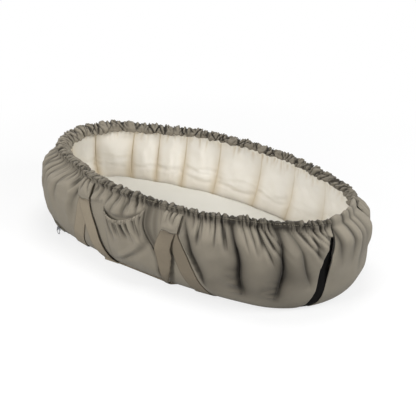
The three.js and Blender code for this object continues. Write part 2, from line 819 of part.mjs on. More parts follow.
function addPocket() {
  const lowRows = ribbonHeights(pocketFoot, bulgeHeight);
  const front = [];
  const back = [];
  const bindFront = [];
  const bindBack = [];
  const cordFront = [];
  const cordBack = [];
  for (let i = 0; i <= pocketColumns; i += 1) {
    const along = i / pocketColumns;
    const mouth = mouthHeight(along);
    const middle = lerp(bulgeHeight, mouth, pocketMiddleShare);
    const rows = [...lowRows, middle, mouth - bindingHeight, mouth];
    const wave = (z) => pocketWave(i, Math.sin(Math.PI * along) * smooth(z, bulgeHeight, mouth));
    front.push(rows.map((z) => pocketPlace(along, z, pocketThickness + wave(z))));
    back.push(rows.map((z) => pocketPlace(along, z, wave(z))));

    const cordSpace = pocketElasticDiameter + 2 * clearance;
    const low = mouth - bindingHeight;
    const high = mouth + cordSpace;
    const outward = pocketThickness + clearance + wave(mouth);
    const inward = Math.min(pocketStandOff(along, mouth), bindingThickness + clearance);
    const bind = [
      [outward + bindingThickness, low, outward, low],
      [outward + bindingThickness, mouth, outward, mouth],
      [outward + bindingThickness, high, outward, high],
      [0.5 * pocketThickness, high + bindingThickness, 0.5 * pocketThickness, high + clearance],
    ];
    bindFront.push(bind.map(([out, z]) => pocketPlace(along, z, out)));
    bindBack.push(bind.map((row) => pocketPlace(along, row[3], row[2])));
    const cordOut = 0.5 * pocketThickness;
    const cordLow = mouth + clearance;
    cordFront.push([
      pocketPlace(along, cordLow, cordOut),
      pocketPlace(along, cordLow + pocketElasticDiameter / 2, cordOut + pocketElasticDiameter / 2),
      pocketPlace(along, cordLow + pocketElasticDiameter, cordOut),
    ]);
    cordBack.push([
      pocketPlace(along, cordLow + pocketElasticDiameter / 4, cordOut - pocketElasticDiameter / 4),
      pocketPlace(along, cordLow + pocketElasticDiameter / 2, cordOut - inward / 4),
      pocketPlace(along, cordLow + pocketElasticDiameter * 0.75, cordOut - pocketElasticDiameter / 4),
    ]);
  }
  addPiece('pocket_panel', sheet(front, back), cloth);
  addPiece('pocket_binding', sheet(bindFront, bindBack), cloth);
  addPiece('pocket_elastic', sheet(cordFront, cordBack), rubber);
}

// Closed loop of points round an oval
function ovalLoop(oval, z, sides) {
  const loop = [];
  for (let i = 0; i < sides; i += 1) loop.push(ringPoint(oval, i / sides * fullTurn, z));
  return loop;
}

function plate(oval, low, high, sides) {
  return stack([ovalLoop(oval, low, sides), ovalLoop(oval, high, sides)]);
}

function block(lowCorner, highCorner) {
  const size = highCorner.clone().sub(lowCorner);
  const geometry = new THREE.BoxGeometry(size.x, size.y, size.z);
  const centre = lowCorner.clone().add(highCorner).multiplyScalar(0.5);
  return geometry.translate(centre.x, centre.y, centre.z);
}

// Base panel with shallow channels where the webbing passes under it
function addBase() {
  const roof = webbingTop + clearance;
  const half = webbingWidth / 2 + grooveMargin;
  const under = inset(floorOval, baseInset);
  const over = inset(crestOval(baseThickness), baseInset);
  const loops = [ovalLoop(under, 0, baseSides), ovalLoop(over, baseThickness, baseSides)];
  let body = solid(stack(loops));
  for (const x of [headLoadFloorX, footLoadFloorX]) {
    const low = vector(x - half, -nestWidth, -overrun);
    body = body.subtract(solid(block(low, vector(x + half, nestWidth, roof))));
    for (const side of [-1, 1]) {
      const edges = [side * ovalHalfWidth(under, x), side * nestWidth];
      const start = vector(x - half, Math.min(...edges), -overrun);
      const end = vector(x + half, Math.max(...edges), baseThickness + overrun);
      body = body.subtract(solid(block(start, end)));
    }
  }
  for (const side of [-1, 1]) {
    const edges = [side * (handleRunY - half), side * nestWidth];
    const low = vector(headHandleFloorX - half, Math.min(...edges), -overrun);
    const high = vector(footHandleFloorX + half, Math.max(...edges), roof);
    body = body.subtract(solid(block(low, high)));
  }
  addPiece('base_panel', fromSolid(body), cloth);
  addPiece('liner_floor_pad', plate(mattressOval, baseTop, padTop, padSides), cream);
}

// Mattress core and its fitted sheet, which is open underneath
function addMattress() {
  const sides = mattressSides;
  const foot = padTop + clearance;
  const loop = (distance, z) => ovalLoop(inset(mattressOval, distance), z, sides);
  const profile = (inward, drop) => [
    [inward, foot],
    [inward, mattressTop - mattressEdgeRadius - drop],
    [mattressEdgeRadius / 2 + inward, mattressTop - mattressCrown - mattressEdgeRadius / 3 - drop],
    [mattressSlope / 2 + inward, mattressTop - mattressCrown / 2 - drop],
    [mattressSlope + inward, mattressTop - drop],
  ];
  const coreInset = sheetThickness + clearance;
  const core = plate(inset(mattressOval, coreInset + mattressEdgeRadius / 2), foot,
    mattressTop - mattressCrown - mattressEdgeRadius / 3 - coreInset, sides);
  addPiece('mattress_core', core, foam);

  const skin = (drop) => profile(drop, drop).map(([distance, z]) => loop(distance, z));
  const outer = skin(0);
  const inner = skin(sheetThickness);
  const points = [...outer, ...inner].flat();
  const triangles = [];
  const rows = outer.length;
  for (let side = 0; side < 2; side += 1) {
    for (let i = 0; i < rows - 1; i += 1) {
      for (let j = 0; j < sides; j += 1) {
        const low = (side * rows + i) * sides;
        const next = (j + 1) % sides;
        const corners = [low + j, low + next, low + sides + next, low + sides + j];
        if (side === 1) corners.reverse();
        triangles.push([corners[0], corners[1], corners[2]], [corners[0], corners[2], corners[3]]);
      }
    }
  }
  const centreZ = [mattressTop, mattressTop - sheetThickness];
  centreZ.forEach((z, side) => {
    const low = (side * rows + rows - 1) * sides;
    points.push(vector(0, 0, z));
    for (let j = 0; j < sides; j += 1) {
      const edge = [low + j, low + (j + 1) % sides];
      if (side === 1) edge.reverse();
      triangles.push([...edge, points.length - 1]);
    }
  });
  for (let j = 0; j < sides; j += 1) {
    const next = (j + 1) % sides;
    const under = rows * sides;
    triangles.push([j, under + next, next], [j, under + j, under + next]);
  }
  addPiece('mattress_cover', closedGeometry(points, triangles), fitted);
}

// Zip round the head end: tape, coil, slider and ring pull, on arcs about one upright axis
const zipCentreX = bulgeOval.r - bulgeOval.a;

function zipRadius(z) {
  return valleyOval(z).r;
}

function zipPlace(radius, angle, z) {
  const turn = angle * degree;
  return vector(zipCentreX + radius * Math.cos(turn), radius * Math.sin(turn), z);
}

function zipSweep(start, end, count, frontProfile, backProfile) {
  const front = [];
  const back = [];
  for (let i = 0; i <= count; i += 1) {
    const angle = lerp(start, end, i / count);
    front.push(frontProfile.map(([radius, z]) => zipPlace(radius, angle, z)));
    back.push(backProfile.map(([radius, z]) => zipPlace(radius, angle, z)));
  }
  return sheet(front, back);
}

function addZip() {
  const { endCentre, sideCentre } = arcs(valleyOval(zipHeight));
  const halfAngle = Math.atan2(sideCentre, endCentre) / degree - zipEndMargin;
  const middle = fullTurn / 2;
  const start = middle - halfAngle;
  const end = middle + halfAngle;
  const tapeRows = zipRowShares.map((share) => zipHeight + share * zipTapeHeight);
  const onTape = (extra) => tapeRows.map((z) => [zipRadius(z) + 2 * clearance + extra, z]);
  const tape = zipSweep(start, end, zipColumns, onTape(zipTapeThickness), onTape(0));
  addPiece('zip_tape', tape, zipTape);

  const tapeFace = zipRadius(zipHeight) + zipTapeThickness + 3 * clearance;
  const coilLow = zipHeight - zipCoilWidth / 2;
  const coilHigh = zipHeight + zipCoilWidth / 2;
  const seat = zipRadius(coilHigh) + zipTapeThickness + 3 * clearance;
  const coilFace = seat + zipCoilThickness;
  const coilFront = [[coilFace, coilLow], [coilFace, coilHigh]];
  const coilBack = [[tapeFace, coilLow], [seat, coilHigh]];
  addPiece('zip_coil', zipSweep(start, end, zipColumns, coilFront, coilBack), zipNylon);

  const half = sliderLength / 2 / coilFace / degree;
  const inside = sliderClearance;
  const legFoot = seat + sliderClearance;
  const roof = coilFace + inside;
  const lowSide = coilLow - inside;
  const highSide = coilHigh + inside;
  const channel = zipSweep(sliderAngle - half, sliderAngle + half, sliderSteps, [
    [legFoot, lowSide - sliderWall], [roof + sliderWall, lowSide - sliderWall],
    [roof + sliderWall, highSide + sliderWall], [legFoot + sliderWall, highSide + sliderWall],
  ], [
    [legFoot, lowSide], [roof, lowSide], [roof, highSide], [legFoot + sliderWall, highSide],
  ]);
  const bridgeHalf = bridgeWidth / 2;
  const bridgeOuter = bridgeHeight / 2 + bridgeBar;
  const bridgeInner = bridgeHeight / 2;
  const face = roof + sliderWall / 2;
  const turnHalf = bridgeHalf / face / degree;
  const arch = zipSweep(sliderAngle - turnHalf, sliderAngle + turnHalf, 1, [
    [face, zipHeight - bridgeOuter], [face + bridgeOuter, zipHeight - bridgeOuter],
    [face + bridgeOuter, zipHeight + bridgeOuter], [face, zipHeight + bridgeOuter],
  ], [
    [face, zipHeight - bridgeInner], [face + bridgeInner + sliderWall, zipHeight - bridgeInner],
    [face + bridgeInner + sliderWall, zipHeight + bridgeInner], [face, zipHeight + bridgeInner],
  ]);
  addPiece('zip_slider', fromSolid(solid(channel).add(solid(arch))), steel);

  const pinRadius = roof + sliderWall + bridgeInner / 2;
  const ringRadius = (ringDiameter - ringWire) / 2;
  const ring = new THREE.TorusGeometry(ringRadius, ringWire / 2, ringSides, ringSteps);
  const ringZ = zipHeight - bridgeInner + ringWire / 2 + clearance - ringRadius;
  const centre = zipPlace(pinRadius, sliderAngle, ringZ);
  ring.rotateY(fullTurn / 4 * degree);
  ring.rotateZ(sliderAngle * degree);
  ring.translate(centre.x, centre.y, centre.z);
  addPiece('zip_pull_ring', fromSolid(solid(ring)), steel);
}

addBase();
addMattress();
addLinerChannels();
addCover();
addFootWrap();
addFootLining();
addRim();
addPocket();
addWebbing();
addZip();

export default lounger;
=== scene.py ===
"""Infant lounger: the looks of a padded oval nest, in metres, built round its working parts.

The wall is described by ovals at each height, as in the working parts: the crest that the folds
reach, the valley that the cover lies on between them, and the crown of the stuffed channels.
Angles are seen from the nest's middle, in degrees from the foot end, and go round by the far side.
"""

import math

import bmesh
import bpy
import numpy as np
from mathutils import Matrix, Vector


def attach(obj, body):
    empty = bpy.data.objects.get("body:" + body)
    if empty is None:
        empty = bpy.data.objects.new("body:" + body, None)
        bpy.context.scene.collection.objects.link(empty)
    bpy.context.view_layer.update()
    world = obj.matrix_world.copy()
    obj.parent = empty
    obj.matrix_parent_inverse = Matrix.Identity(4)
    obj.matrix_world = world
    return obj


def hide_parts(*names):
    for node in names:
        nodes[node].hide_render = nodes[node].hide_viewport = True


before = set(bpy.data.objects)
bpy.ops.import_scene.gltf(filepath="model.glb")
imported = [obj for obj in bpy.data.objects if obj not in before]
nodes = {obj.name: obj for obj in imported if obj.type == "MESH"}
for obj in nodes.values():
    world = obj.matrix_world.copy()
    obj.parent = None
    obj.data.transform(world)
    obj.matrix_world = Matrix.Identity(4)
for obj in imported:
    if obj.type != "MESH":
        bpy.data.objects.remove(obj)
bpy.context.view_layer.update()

# The wall
NEST_HEIGHT = 0.205
BULGE_HEIGHT = 0.110
RIM_LEVEL = 0.183
FOLD = 0.011
FOLD_START = 0.034
SHOULDER_SHARE = 0.9
COVER_CLOTH = 0.0012
LINER_DEPTH = 0.0038
LINER_BACK = 0.0095
LINER_TOP = 0.0067
SEAM_DEPTH = 0.0155
PAD_TOP = 0.1915
MATTRESS_TOP = 0.060
MATTRESS_GAP = 0.0032
SEAM_ANGLES = [8, 27, 46, 64.5, 81, 99.5, 114.5, 127, 139.5, 161.5, 183,
               205, 220.5, 233, 245.5, 260.5, 279, 295.5, 314, 333, 352]
ROW_HEIGHTS = [0.0053, 0.0173, 0.0566, 0.110, 0.1363, 0.1611, 0.183]
COVER_EDGE = [325.4, 328.2, 331.2, 332.9, 335.7, 340, 343.2]
WRAP_EDGE = [331.4, 334, 335.9, 337.3, 338.7, 341.5, 343.9]
HEAD_SEAM = 243
COVER_END = 343

# Deep pleats of the long sides: direction at the rim and at the base, and share of the fold
PLEATS = [(286, 296, 0.7), (303, 306, 1.0), (319, 315, 1.0), (323.5, 331, 0.6)]
PLEAT_WIDTH = 0.020
CREASE_WIDTH = 0.0075

# Rim casing
CASING_INSET = 0.003
CASING_BASE = 0.1833

# Webbing
WEBBING_WIDTH = 0.038
WEBBING_CLOTH = 0.002
ANCHOR_HEIGHT = 0.146
ANCHOR_LAP = 0.030
HEAD_ANCHOR_X = -0.174
FOOT_ANCHOR_X = 0.088
HEAD_LOAD_X = -0.207
FOOT_LOAD_X = 0.170
HEAD_HANDLE_X = -0.100
FOOT_HANDLE_X = 0.084
HANDLE_RUN_Y = 0.181
RIBBON_GAP = 0.0007
LAYER_STEP = 0.0023
TAB_WIDTH = 0.040

# Pocket
POCKET_FOOT = 0.0155
POCKET_CORNER = 0.151
POCKET_RISE = 0.027
POCKET_DIP = 0.029
POCKET_DEPTH = 0.012
POCKET_HEAD_X = -0.106
POCKET_FOOT_X = 0.014
POCKET_HEAD_FLOOR_X = -0.082
POCKET_FOOT_FLOOR_X = 0.059
MOUTH_RUN = 0.118

# Camera, from the photograph's outline
IMAGE_SIZE = 416
FOCAL_PIXELS = 850
VIEW_AZIMUTH = 36
VIEW_ELEVATION = 27
VIEW_DISTANCE = 2.1
AIM_RIGHT = 0.026
AIM_UP = 0.079


def make_camera():
    """The photograph's camera, looking down on the near long side from the foot end."""
    data = bpy.data.cameras.new("camera")
    camera = bpy.data.objects.new("camera", data)
    bpy.context.scene.collection.objects.link(camera)
    azimuth, elevation = math.radians(VIEW_AZIMUTH), math.radians(VIEW_ELEVATION)
    back = Vector((math.sin(azimuth) * math.cos(elevation),
                   -math.cos(azimuth) * math.cos(elevation), math.sin(elevation)))
    right = (-back).cross(Vector((0, 0, 1))).normalized()
    up = right.cross(-back)
    camera.location = back * VIEW_DISTANCE + right * AIM_RIGHT + up * AIM_UP
    camera.rotation_mode = "QUATERNION"
    camera.rotation_quaternion = (-back).to_track_quat("-Z", "Y")
    data.sensor_width = 36
    data.lens = FOCAL_PIXELS / IMAGE_SIZE * data.sensor_width
    data.clip_start, data.clip_end = 0.05, 50
    bpy.context.scene.camera = camera


make_camera()


# Shader writing

class Wire:
    """A socket, with the arithmetic that the finishes are written in."""

    def __init__(self, board, socket):
        self.board, self.socket = board, socket

    def worked(self, operation, *others):
        return self.board.node("ShaderNodeMath", {"operation": operation}, self, *others)

    def __add__(self, other):
        return self.worked("ADD", other)

    def __sub__(self, other):
        return self.worked("SUBTRACT", other)

    def __mul__(self, other):
        return self.worked("MULTIPLY", other)

    def __truediv__(self, other):
        return self.worked("DIVIDE", other)

    __radd__ = __add__

    def wave(self, period):
        """0 to 1 and back, once in each period."""
        return (self * (2 * math.pi / period)).worked("SINE").worked("MULTIPLY_ADD", 0.5, 0.5)


class Board:
    """A tree of shader nodes; every node that this script makes comes from node()."""

    def __init__(self, owner):
        owner.use_nodes = True
        self.tree = owner.node_tree

    def put(self, value, socket):
        if isinstance(value, Wire):
            self.tree.links.new(value.socket, socket)
        else:
            socket.default_value = value

    def node(self, kind, settings, *values, output=0, **named):
        made = self.tree.nodes.new(kind)
        for key, value in settings.items():
            setattr(made, key, value)
        for place, value in enumerate(values):
            self.put(value, made.inputs[place])
        for place, value in named.items():
            self.put(value, made.inputs[place])
        return Wire(self, made.outputs[output])

    def blend(self, factor, first, second):
        """A colour between two colours."""
        made = self.node("ShaderNodeMix", {"data_type": "RGBA", "clamp_factor": True}, output=2)
        for place, value in ((0, factor), (6, first), (7, second)):
            self.put(value, made.socket.node.inputs[place])
        return made

    def seen_by_camera(self):
        return self.node("ShaderNodeLightPath", {}, output="Is Camera Ray")


class Finish(Board):
    """One material, laid out over the cloth's own map or over the whole object."""

    def __init__(self, name, roughness, sheen=0.0, metallic=0.0, specular=0.5, mapped=True):
        self.material = bpy.data.materials.new(name)
        super().__init__(self.material)
        self.surface = self.tree.nodes["Principled BSDF"]
        for socket, value in (("Roughness", roughness), ("Sheen Weight", sheen),
                              ("Sheen Roughness", 0.5), ("Metallic", metallic),
                              ("Specular IOR Level", specular)):
            self.put(value, self.surface.inputs[socket])
        self.place = (self.node("ShaderNodeUVMap", {"uv_map": "cloth"}) if mapped
                      else self.node("ShaderNodeTexCoord", {}, output="Object"))

    def axes(self):
        """Metres along and across the cloth, or the object."""
        made = self.node("ShaderNodeSeparateXYZ", {}, self.place)
        return made, Wire(self, made.socket.node.outputs["Y"])

    def noise(self, scale, detail=3.0, roughness=0.5):
        return self.node("ShaderNodeTexNoise", {}, Vector=self.place, Scale=scale, Detail=detail,
                         Roughness=roughness)

    # painted shade, read from each mesh's fold attribute
    def folds(self):
        return self.node("ShaderNodeAttribute", {"attribute_name": "fold"}, output="Fac")

    def coats(self, mottle, first, second, *coats):
        """A colour mottled between two, with further colours laid over it in their shares."""
        colour = self.blend(mottle, shade(first), shade(second))
        for share, coat in coats:
            colour = self.blend(share, colour, shade(coat))
        return colour

    def dress(self, colour, roughness=None, height=None, depth=0.0005, strength=0.5):
        """Joins what varies to the surface: its colour, its roughness and its relief."""
        self.put(colour, self.surface.inputs["Base Color"])
        if roughness is not None:
            self.put(roughness, self.surface.inputs["Roughness"])
            relief = self.node("ShaderNodeBump", {}, Strength=strength, Distance=depth,
                               Height=height)
            self.put(relief, self.surface.inputs["Normal"])
        return self.material


def shade(tone):
    """A colour as it is seen on a screen, 0 to 255, in the renderer's own scale."""
    def linear(value):
        value /= 255
        return value / 12.92 if value < 0.04045 else ((value + 0.055) / 1.055) ** 2.4
    return (*map(linear, tone), 1.0)


# Finishes

def twill_cloth():
    """Grey-green cotton twill, washed soft: diagonal ribs, paler slubs, and painted shade, near black,
    in its creases and pleats.
    """
    finish = Finish("cover_twill", 0.92, sheen=0.12, specular=0.25)
    x, y = finish.axes()
    slubs, mottle, washed = finish.noise(900, 2), finish.noise(42, 4, 0.6), finish.noise(9, 2)
    # the last coat is painted shade: near black where the fold attribute marks creases, pleats and hems
    colour = finish.coats(mottle, (133, 126, 112), (147, 139, 125),
                          (washed * 0.35, (141, 132, 116)), (slubs * 0.22, (164, 157, 142)),
                          (finish.folds() * 0.9, (38, 34, 28)))
    height = (x + y).wave(0.0011) * 0.5 + (x - y).wave(0.0007) * 0.2 + slubs * 0.5 + mottle * 1.2
    return finish.dress(colour, 0.86 + mottle * 0.12, height, 0.0006, 0.45)


def webbing_cloth():
    """Flat woven webbing: close crosswise ribs between two firmer edges."""
    finish = Finish("webbing_weave", 0.85, sheen=0.08, specular=0.3)
    x, y = finish.axes()
    ribs, wear = y.wave(0.0016), finish.noise(60)
    herring = (y + x.wave(0.0021) * 0.0012).wave(0.0023)
    edge = (x / WEBBING_WIDTH - 0.5).worked("ABSOLUTE").worked("GREATER_THAN", 0.44)
    # the last coat is dark where the fold attribute marks darker edges, and painted shade on straps that
    # hang in shade
    colour = finish.coats(wear, (147, 136, 117), (159, 147, 128), (ribs * 0.25, (126, 115, 98)),
                          (edge * 0.4, (134, 123, 105)), (finish.folds(), (70, 62, 50)))
    return finish.dress(colour, 0.78 + wear * 0.15, ribs * 0.8 + herring * 0.6 + wear * 0.5)


def liner_cloth():
    """Cream cotton in a fine plain weave, with warm painted shade beside its seams and low on its pads.
    """
    finish = Finish("liner_cotton", 0.93, sheen=0.1, specular=0.2)
    x, y = finish.axes()
    slubs, crumple = finish.noise(700, 2), finish.noise(38, 4, 0.65)
    # the last coat is warm painted shade, laid on by the fold attribute
    colour = finish.coats(crumple, (231, 226, 215), (238, 234, 226),
                          (slubs * 0.12, (221, 215, 203)), (finish.folds() * 0.9, (198, 181, 151)))
    height = x.wave(0.0009) * y.wave(0.0009) * 0.5 + slubs * 0.3 + crumple * 1.6
    return finish.dress(colour, 0.88 + crumple * 0.1, height, 0.0008, 0.35)


def floor_cotton():
    """The liner's cotton on the floor pad, read along the object."""
    finish = Finish("floor_cotton", 0.93, sheen=0.1, specular=0.2, mapped=False)
    x, y = finish.axes()
    crumple = finish.noise(30, 4)
    colour = finish.coats(crumple, (232, 225, 208), (242, 236, 223))
    height = x.wave(0.0009) * y.wave(0.0009) * 0.5 + crumple * 2
    return finish.dress(colour, 0.88 + crumple * 0.1, height, 0.0008)


def sheet_cloth():
    """Off-white jersey, stretched over the mattress."""
    finish = Finish("sheet_jersey", 0.94, sheen=0.1, specular=0.2, mapped=False)
    x, y = finish.axes()
    tufts, drape = finish.noise(500, 2), finish.noise(14, 3, 0.55)
    colour = finish.coats(drape, (203, 200, 190), (211, 208, 200), (tufts * 0.1, (193, 189, 178)))
    height = (y + x.wave(0.0013) * 0.0004).wave(0.0012) * 0.4 + tufts * 0.3 + drape * 1.5
    return finish.dress(colour, 0.9 + tufts * 0.06, height, 0.0012, 0.3)


def lining_and_slit_shadow():
    """Near-black lining in the slits beside the wrap panel: its black is partly the lining's own and
    partly painted shadow of the deep slits.
    """
    finish = Finish("black_lining_and_slit_shadow", 0.95, specular=0.15)
    x, y = finish.axes()
    fluff = finish.noise(300)
    weave = x.wave(0.0008) * y.wave(0.0008)
    colour = finish.coats(fluff, (9, 8, 8), (20, 19, 18))
    return finish.dress(colour, 0.9 + fluff * 0.08, weave + fluff, 0.0003, 0.4)


def base_cloth():
    """The cover's twill on the stiff base panel, read along the object."""
    finish = Finish("base_twill", 0.93, sheen=0.1, specular=0.2, mapped=False)
    x, y = finish.axes()
    mottle, scuffs = finish.noise(40, 4), finish.noise(11, 5, 0.7)
    colour = finish.coats(mottle, (126, 120, 104), (142, 136, 119), (scuffs * 0.3, (108, 101, 87)))
    return finish.dress(colour, 0.86 + mottle * 0.1, (x + y).wave(0.0011) * 0.5 + mottle, 0.0006)


def foam_block():
    """Open-celled foam of the mattress core."""
    finish = Finish("foam_cells", 0.97, specular=0.1, mapped=False)
    cells = finish.node("ShaderNodeTexVoronoi", {"feature": "F1"}, Vector=finish.place, Scale=650)
    tone = finish.noise(20)
    colour = finish.coats(tone, (236, 231, 214), (246, 242, 229))
    return finish.dress(colour, 0.92 + tone * 0.06, cells, 0.0008)


def elastic_cover():
    """White braided elastic: close ribs round the cord."""
    finish = Finish("elastic_braid", 0.8, specular=0.3)
    x, y = finish.axes()
    dust = finish.noise(80)
    braid = (x + y).wave(0.0016) * (x - y).wave(0.0016)
    colour = finish.coats(dust, (226, 222, 212), (240, 237, 229))
    return finish.dress(colour, 0.74 + dust * 0.15, braid, 0.0004)


def zip_cloth():
    """Woven zip tape, a shade darker than the cover."""
    finish = Finish("zip_tape_weave", 0.88, specular=0.3)
    x, y = finish.axes()
    wear = finish.noise(50)
    colour = finish.coats(wear, (104, 98, 84), (122, 116, 100))
    ribs = y.wave(0.0009) * 0.7 + x.wave(0.0012) * 0.3
    return finish.dress(colour, 0.8 + wear * 0.14, ribs, 0.0004)


def zip_nylon():
    """Moulded nylon of the coil."""
    finish = Finish("coil_nylon", 0.5, mapped=False)
    tone = finish.noise(120)
    colour = finish.coats(tone, (92, 88, 77), (110, 105, 92))
    return finish.dress(colour, 0.42 + tone * 0.2, tone, 0.0002)


def cast_metal():
    """Grey cast zip metal, brighter where it is handled."""
    finish = Finish("zip_cast_metal", 0.35, metallic=1.0, mapped=False)
    grain, wear = finish.noise(400, 4), finish.noise(90, 2)
    colour = finish.coats(wear, (168, 169, 172), (202, 203, 206))
    return finish.dress(colour, 0.34 + grain * 0.24, grain, 0.0001, 0.4)


def thread():
    """Sewing thread, close to the cover in tone."""
    finish = Finish("sewing_thread", 0.75, specular=0.3, mapped=False)
    tone = finish.noise(250, 2)
    colour = finish.coats(tone, (124, 117, 101), (146, 139, 121))
    return finish.dress(colour, 0.7 + tone * 0.1, tone, 0.0001)


TWILL = twill_cloth()
WEBBING = webbing_cloth()
LINER = liner_cloth()
FLOOR_COTTON = floor_cotton()
JERSEY = sheet_cloth()
LINING_AND_SLIT_SHADOW = lining_and_slit_shadow()
BASE = base_cloth()
FOAM = foam_block()
ELASTIC = elastic_cover()
ZIP_TAPE = zip_cloth()
NYLON = zip_nylon()
METAL = cast_metal()
THREAD = thread()


# Ovals of the wall

class Oval:
    """Four arcs that meet tangentially: half length a, half width b, end radius r."""

    def __init__(self, a, b, r):
        self.a, self.b, self.r = a, b, r

    def inset(self, distance):
        return Oval(self.a - distance, self.b - distance, self.r - distance)

    def mix(self, other, share):
        return Oval(self.a + (other.a - self.a) * share, self.b + (other.b - self.b) * share,
                    self.r + (other.r - self.r) * share)

    def arcs(self):
        end = self.a - self.r
        rise = self.b - self.r
        side = (end ** 2 - rise ** 2) / (2 * rise)
        return end, side, self.b + side

    def at(self, angle):
        """x and y of the point in a direction."""
        end, side, side_radius = self.arcs()
        cosine, sine = np.cos(np.radians(angle)), np.sin(np.radians(angle))
        dx, dy = np.abs(self.a * cosine), np.abs(self.b * sine)
        q = dx * dx + dy * dy
        reach = np.maximum((end * dx) ** 2 - q * (end ** 2 - self.r ** 2), 0)
        scale = (end * dx + np.sqrt(reach)) / q
        limit = self.r * end / np.hypot(side, end)
        cross = (side * dy) ** 2 + q * (side_radius ** 2 - side ** 2)
        scale = np.where(scale * dx - end < limit, (-side * dy + np.sqrt(cross)) / q, scale)
        return np.sign(cosine) * scale * dx, np.sign(sine) * scale * dy

    def half_width(self, x):
        end, side, side_radius = self.arcs()
        joint = end + self.r * end / np.hypot(side, end)
        flank = np.sqrt(np.maximum(side_radius ** 2 - x * x, 0)) - side
        tip = np.sqrt(np.maximum(self.r ** 2 - (np.abs(x) - end) ** 2, 0))
        return np.where(np.abs(x) < joint, flank, tip)


BULGE_OVAL = Oval(0.438, 0.233, 0.205)
FLOOR_OVAL = Oval(0.392, 0.186, 0.159)
RIM_OVAL = Oval(0.410, 0.211, 0.140)
MATTRESS_OVAL = Oval(0.378, 0.151, 0.100)


def smooth(value, low, high):
    share = np.clip((value - low) / (high - low), 0, 1)
    return share * share * (3 - 2 * share)


def bell(offset, width):
    return np.exp(-(offset / width) ** 2)


def crest(z):
    """The outermost oval of the wall at a height."""
    low = np.sqrt(1 - np.clip(1 - z / BULGE_HEIGHT, 0, 1) ** 2)
    turn = SHOULDER_SHARE * np.clip((z - BULGE_HEIGHT) / (RIM_LEVEL - BULGE_HEIGHT), 0, 1)
    high = (1 - np.sqrt(1 - turn ** 2)) / (1 - math.sqrt(1 - SHOULDER_SHARE ** 2))
    below, above = FLOOR_OVAL.mix(BULGE_OVAL, low), BULGE_OVAL.mix(RIM_OVAL, high)
    under = z < BULGE_HEIGHT
    return Oval(np.where(under, below.a, above.a), np.where(under, below.b, above.b),
                np.where(under, below.r, above.r))


def fold_share(z):
    return smooth(z, FOLD_START, BULGE_HEIGHT)


def valley(z):
    return crest(z).inset(FOLD * fold_share(z))


RIM_OPENING = valley(np.array(RIM_LEVEL)).inset(LINER_DEPTH + LINER_TOP)
CASING_OVAL = valley(np.array(RIM_LEVEL)).inset(CASING_INSET)


def crown(z):
    """Inside of the stuffed wall, along the crowns of its channels."""
    climb = np.maximum((z - MATTRESS_TOP) / (RIM_LEVEL - MATTRESS_TOP), 0)
    return MATTRESS_OVAL.inset(-MATTRESS_GAP).mix(RIM_OPENING, climb)


RUN_ANGLES = np.linspace(0, 360, 2881)
_x, _y = BULGE_OVAL.at(RUN_ANGLES)
RUN_LENGTHS = np.concatenate([[0], np.cumsum(np.hypot(np.diff(_x), np.diff(_y)))])


def run_of(angle):
    """Metres round the bulge, from the foot end to a direction."""
    return np.interp(angle, RUN_ANGLES, RUN_LENGTHS)


def angle_of(run):
    return np.interp(run, RUN_LENGTHS, RUN_ANGLES)


def ring_point(oval, angle, z):
    x, y = oval.at(angle)
    return np.stack([x, y, z + np.zeros_like(x)], axis=-1)


def wall_place(side, x, z, out):
    """Place on the long side's wall at x and z, moved out along the wall's own normal."""
    step = 0.0009
    rise = valley(z + step).half_width(x) - valley(z - step).half_width(x)
    slope = rise / (2 * step)
    size = np.hypot(1, slope)
    y = valley(z).half_width(x) + out / size
    return np.stack(np.broadcast_arrays(x, side * y, z - out * slope / size), axis=-1)


# Height of the cover against the share of its way up: from the floor, round the bulge, to the rim
LOW_SHARE = 0.53
COVER_FOOT = 0.0009
FIRST_TURN = math.acos(1 - COVER_FOOT / BULGE_HEIGHT)


def climb_height(share):
    turn = FIRST_TURN + (math.pi / 2 - FIRST_TURN) * np.clip(share / LOW_SHARE, 0, 1)
    low = BULGE_HEIGHT * (1 - np.cos(turn))
    high = BULGE_HEIGHT + (RIM_LEVEL - BULGE_HEIGHT) * (share - LOW_SHARE) / (1 - LOW_SHARE)
    return np.where(share < LOW_SHARE, low, high)


# Meshes

def new_mesh(bm, name):
    mesh = bpy.data.meshes.new(name)
    bm.to_mesh(mesh)
    bm.free()
    return mesh


def rework(mesh, work):
    """Opens a mesh for bmesh's tools, has them work on it and writes it back."""
    bm = bmesh.new()
    bm.from_mesh(mesh)
    work(bm)
    bm.to_mesh(mesh)
    bm.free()


def values_of(items, name, size):
    flat = np.empty(len(items) * size, np.float32)
    items.foreach_get(name, flat)
    return flat.reshape(-1, size)


def points_of(mesh):
    return values_of(mesh.vertices, "co", 3).astype(float)


def set_points(mesh, points):
    mesh.vertices.foreach_set("co", points.astype(np.float32).ravel())
    mesh.update()


# The fold attribute carries painted shade, 0 to 1, and on the webbing its darker edges; the finishes
# darken their colour by it.
def store_painted_shade(mesh, values):
    layer = mesh.attributes.get("fold") or mesh.attributes.new("fold", "FLOAT", "POINT")
    layer.data.foreach_set("value", np.clip(values, 0, 1).astype(np.float32))


def scale_cloth_map(mesh, width, height):
    layer = mesh.uv_layers["cloth"].data
    spread = values_of(layer, "uv", 2) * [width, height]
    layer.foreach_set("uv", spread.astype(np.float32).ravel())


def flat_grid(columns, rows):
    bm = bmesh.new()
    bm.loops.layers.uv.new("cloth")
    bmesh.ops.create_grid(bm, x_segments=columns, y_segments=rows, size=0.5, calc_uvs=True)
    return bm


def shares_of(mesh):
    """Where each point of a flat grid lies across it and along it, 0 to 1."""
    flat = points_of(mesh)[:, :2]
    return ((flat - flat.min(axis=0)) / np.ptp(flat, axis=0)).T


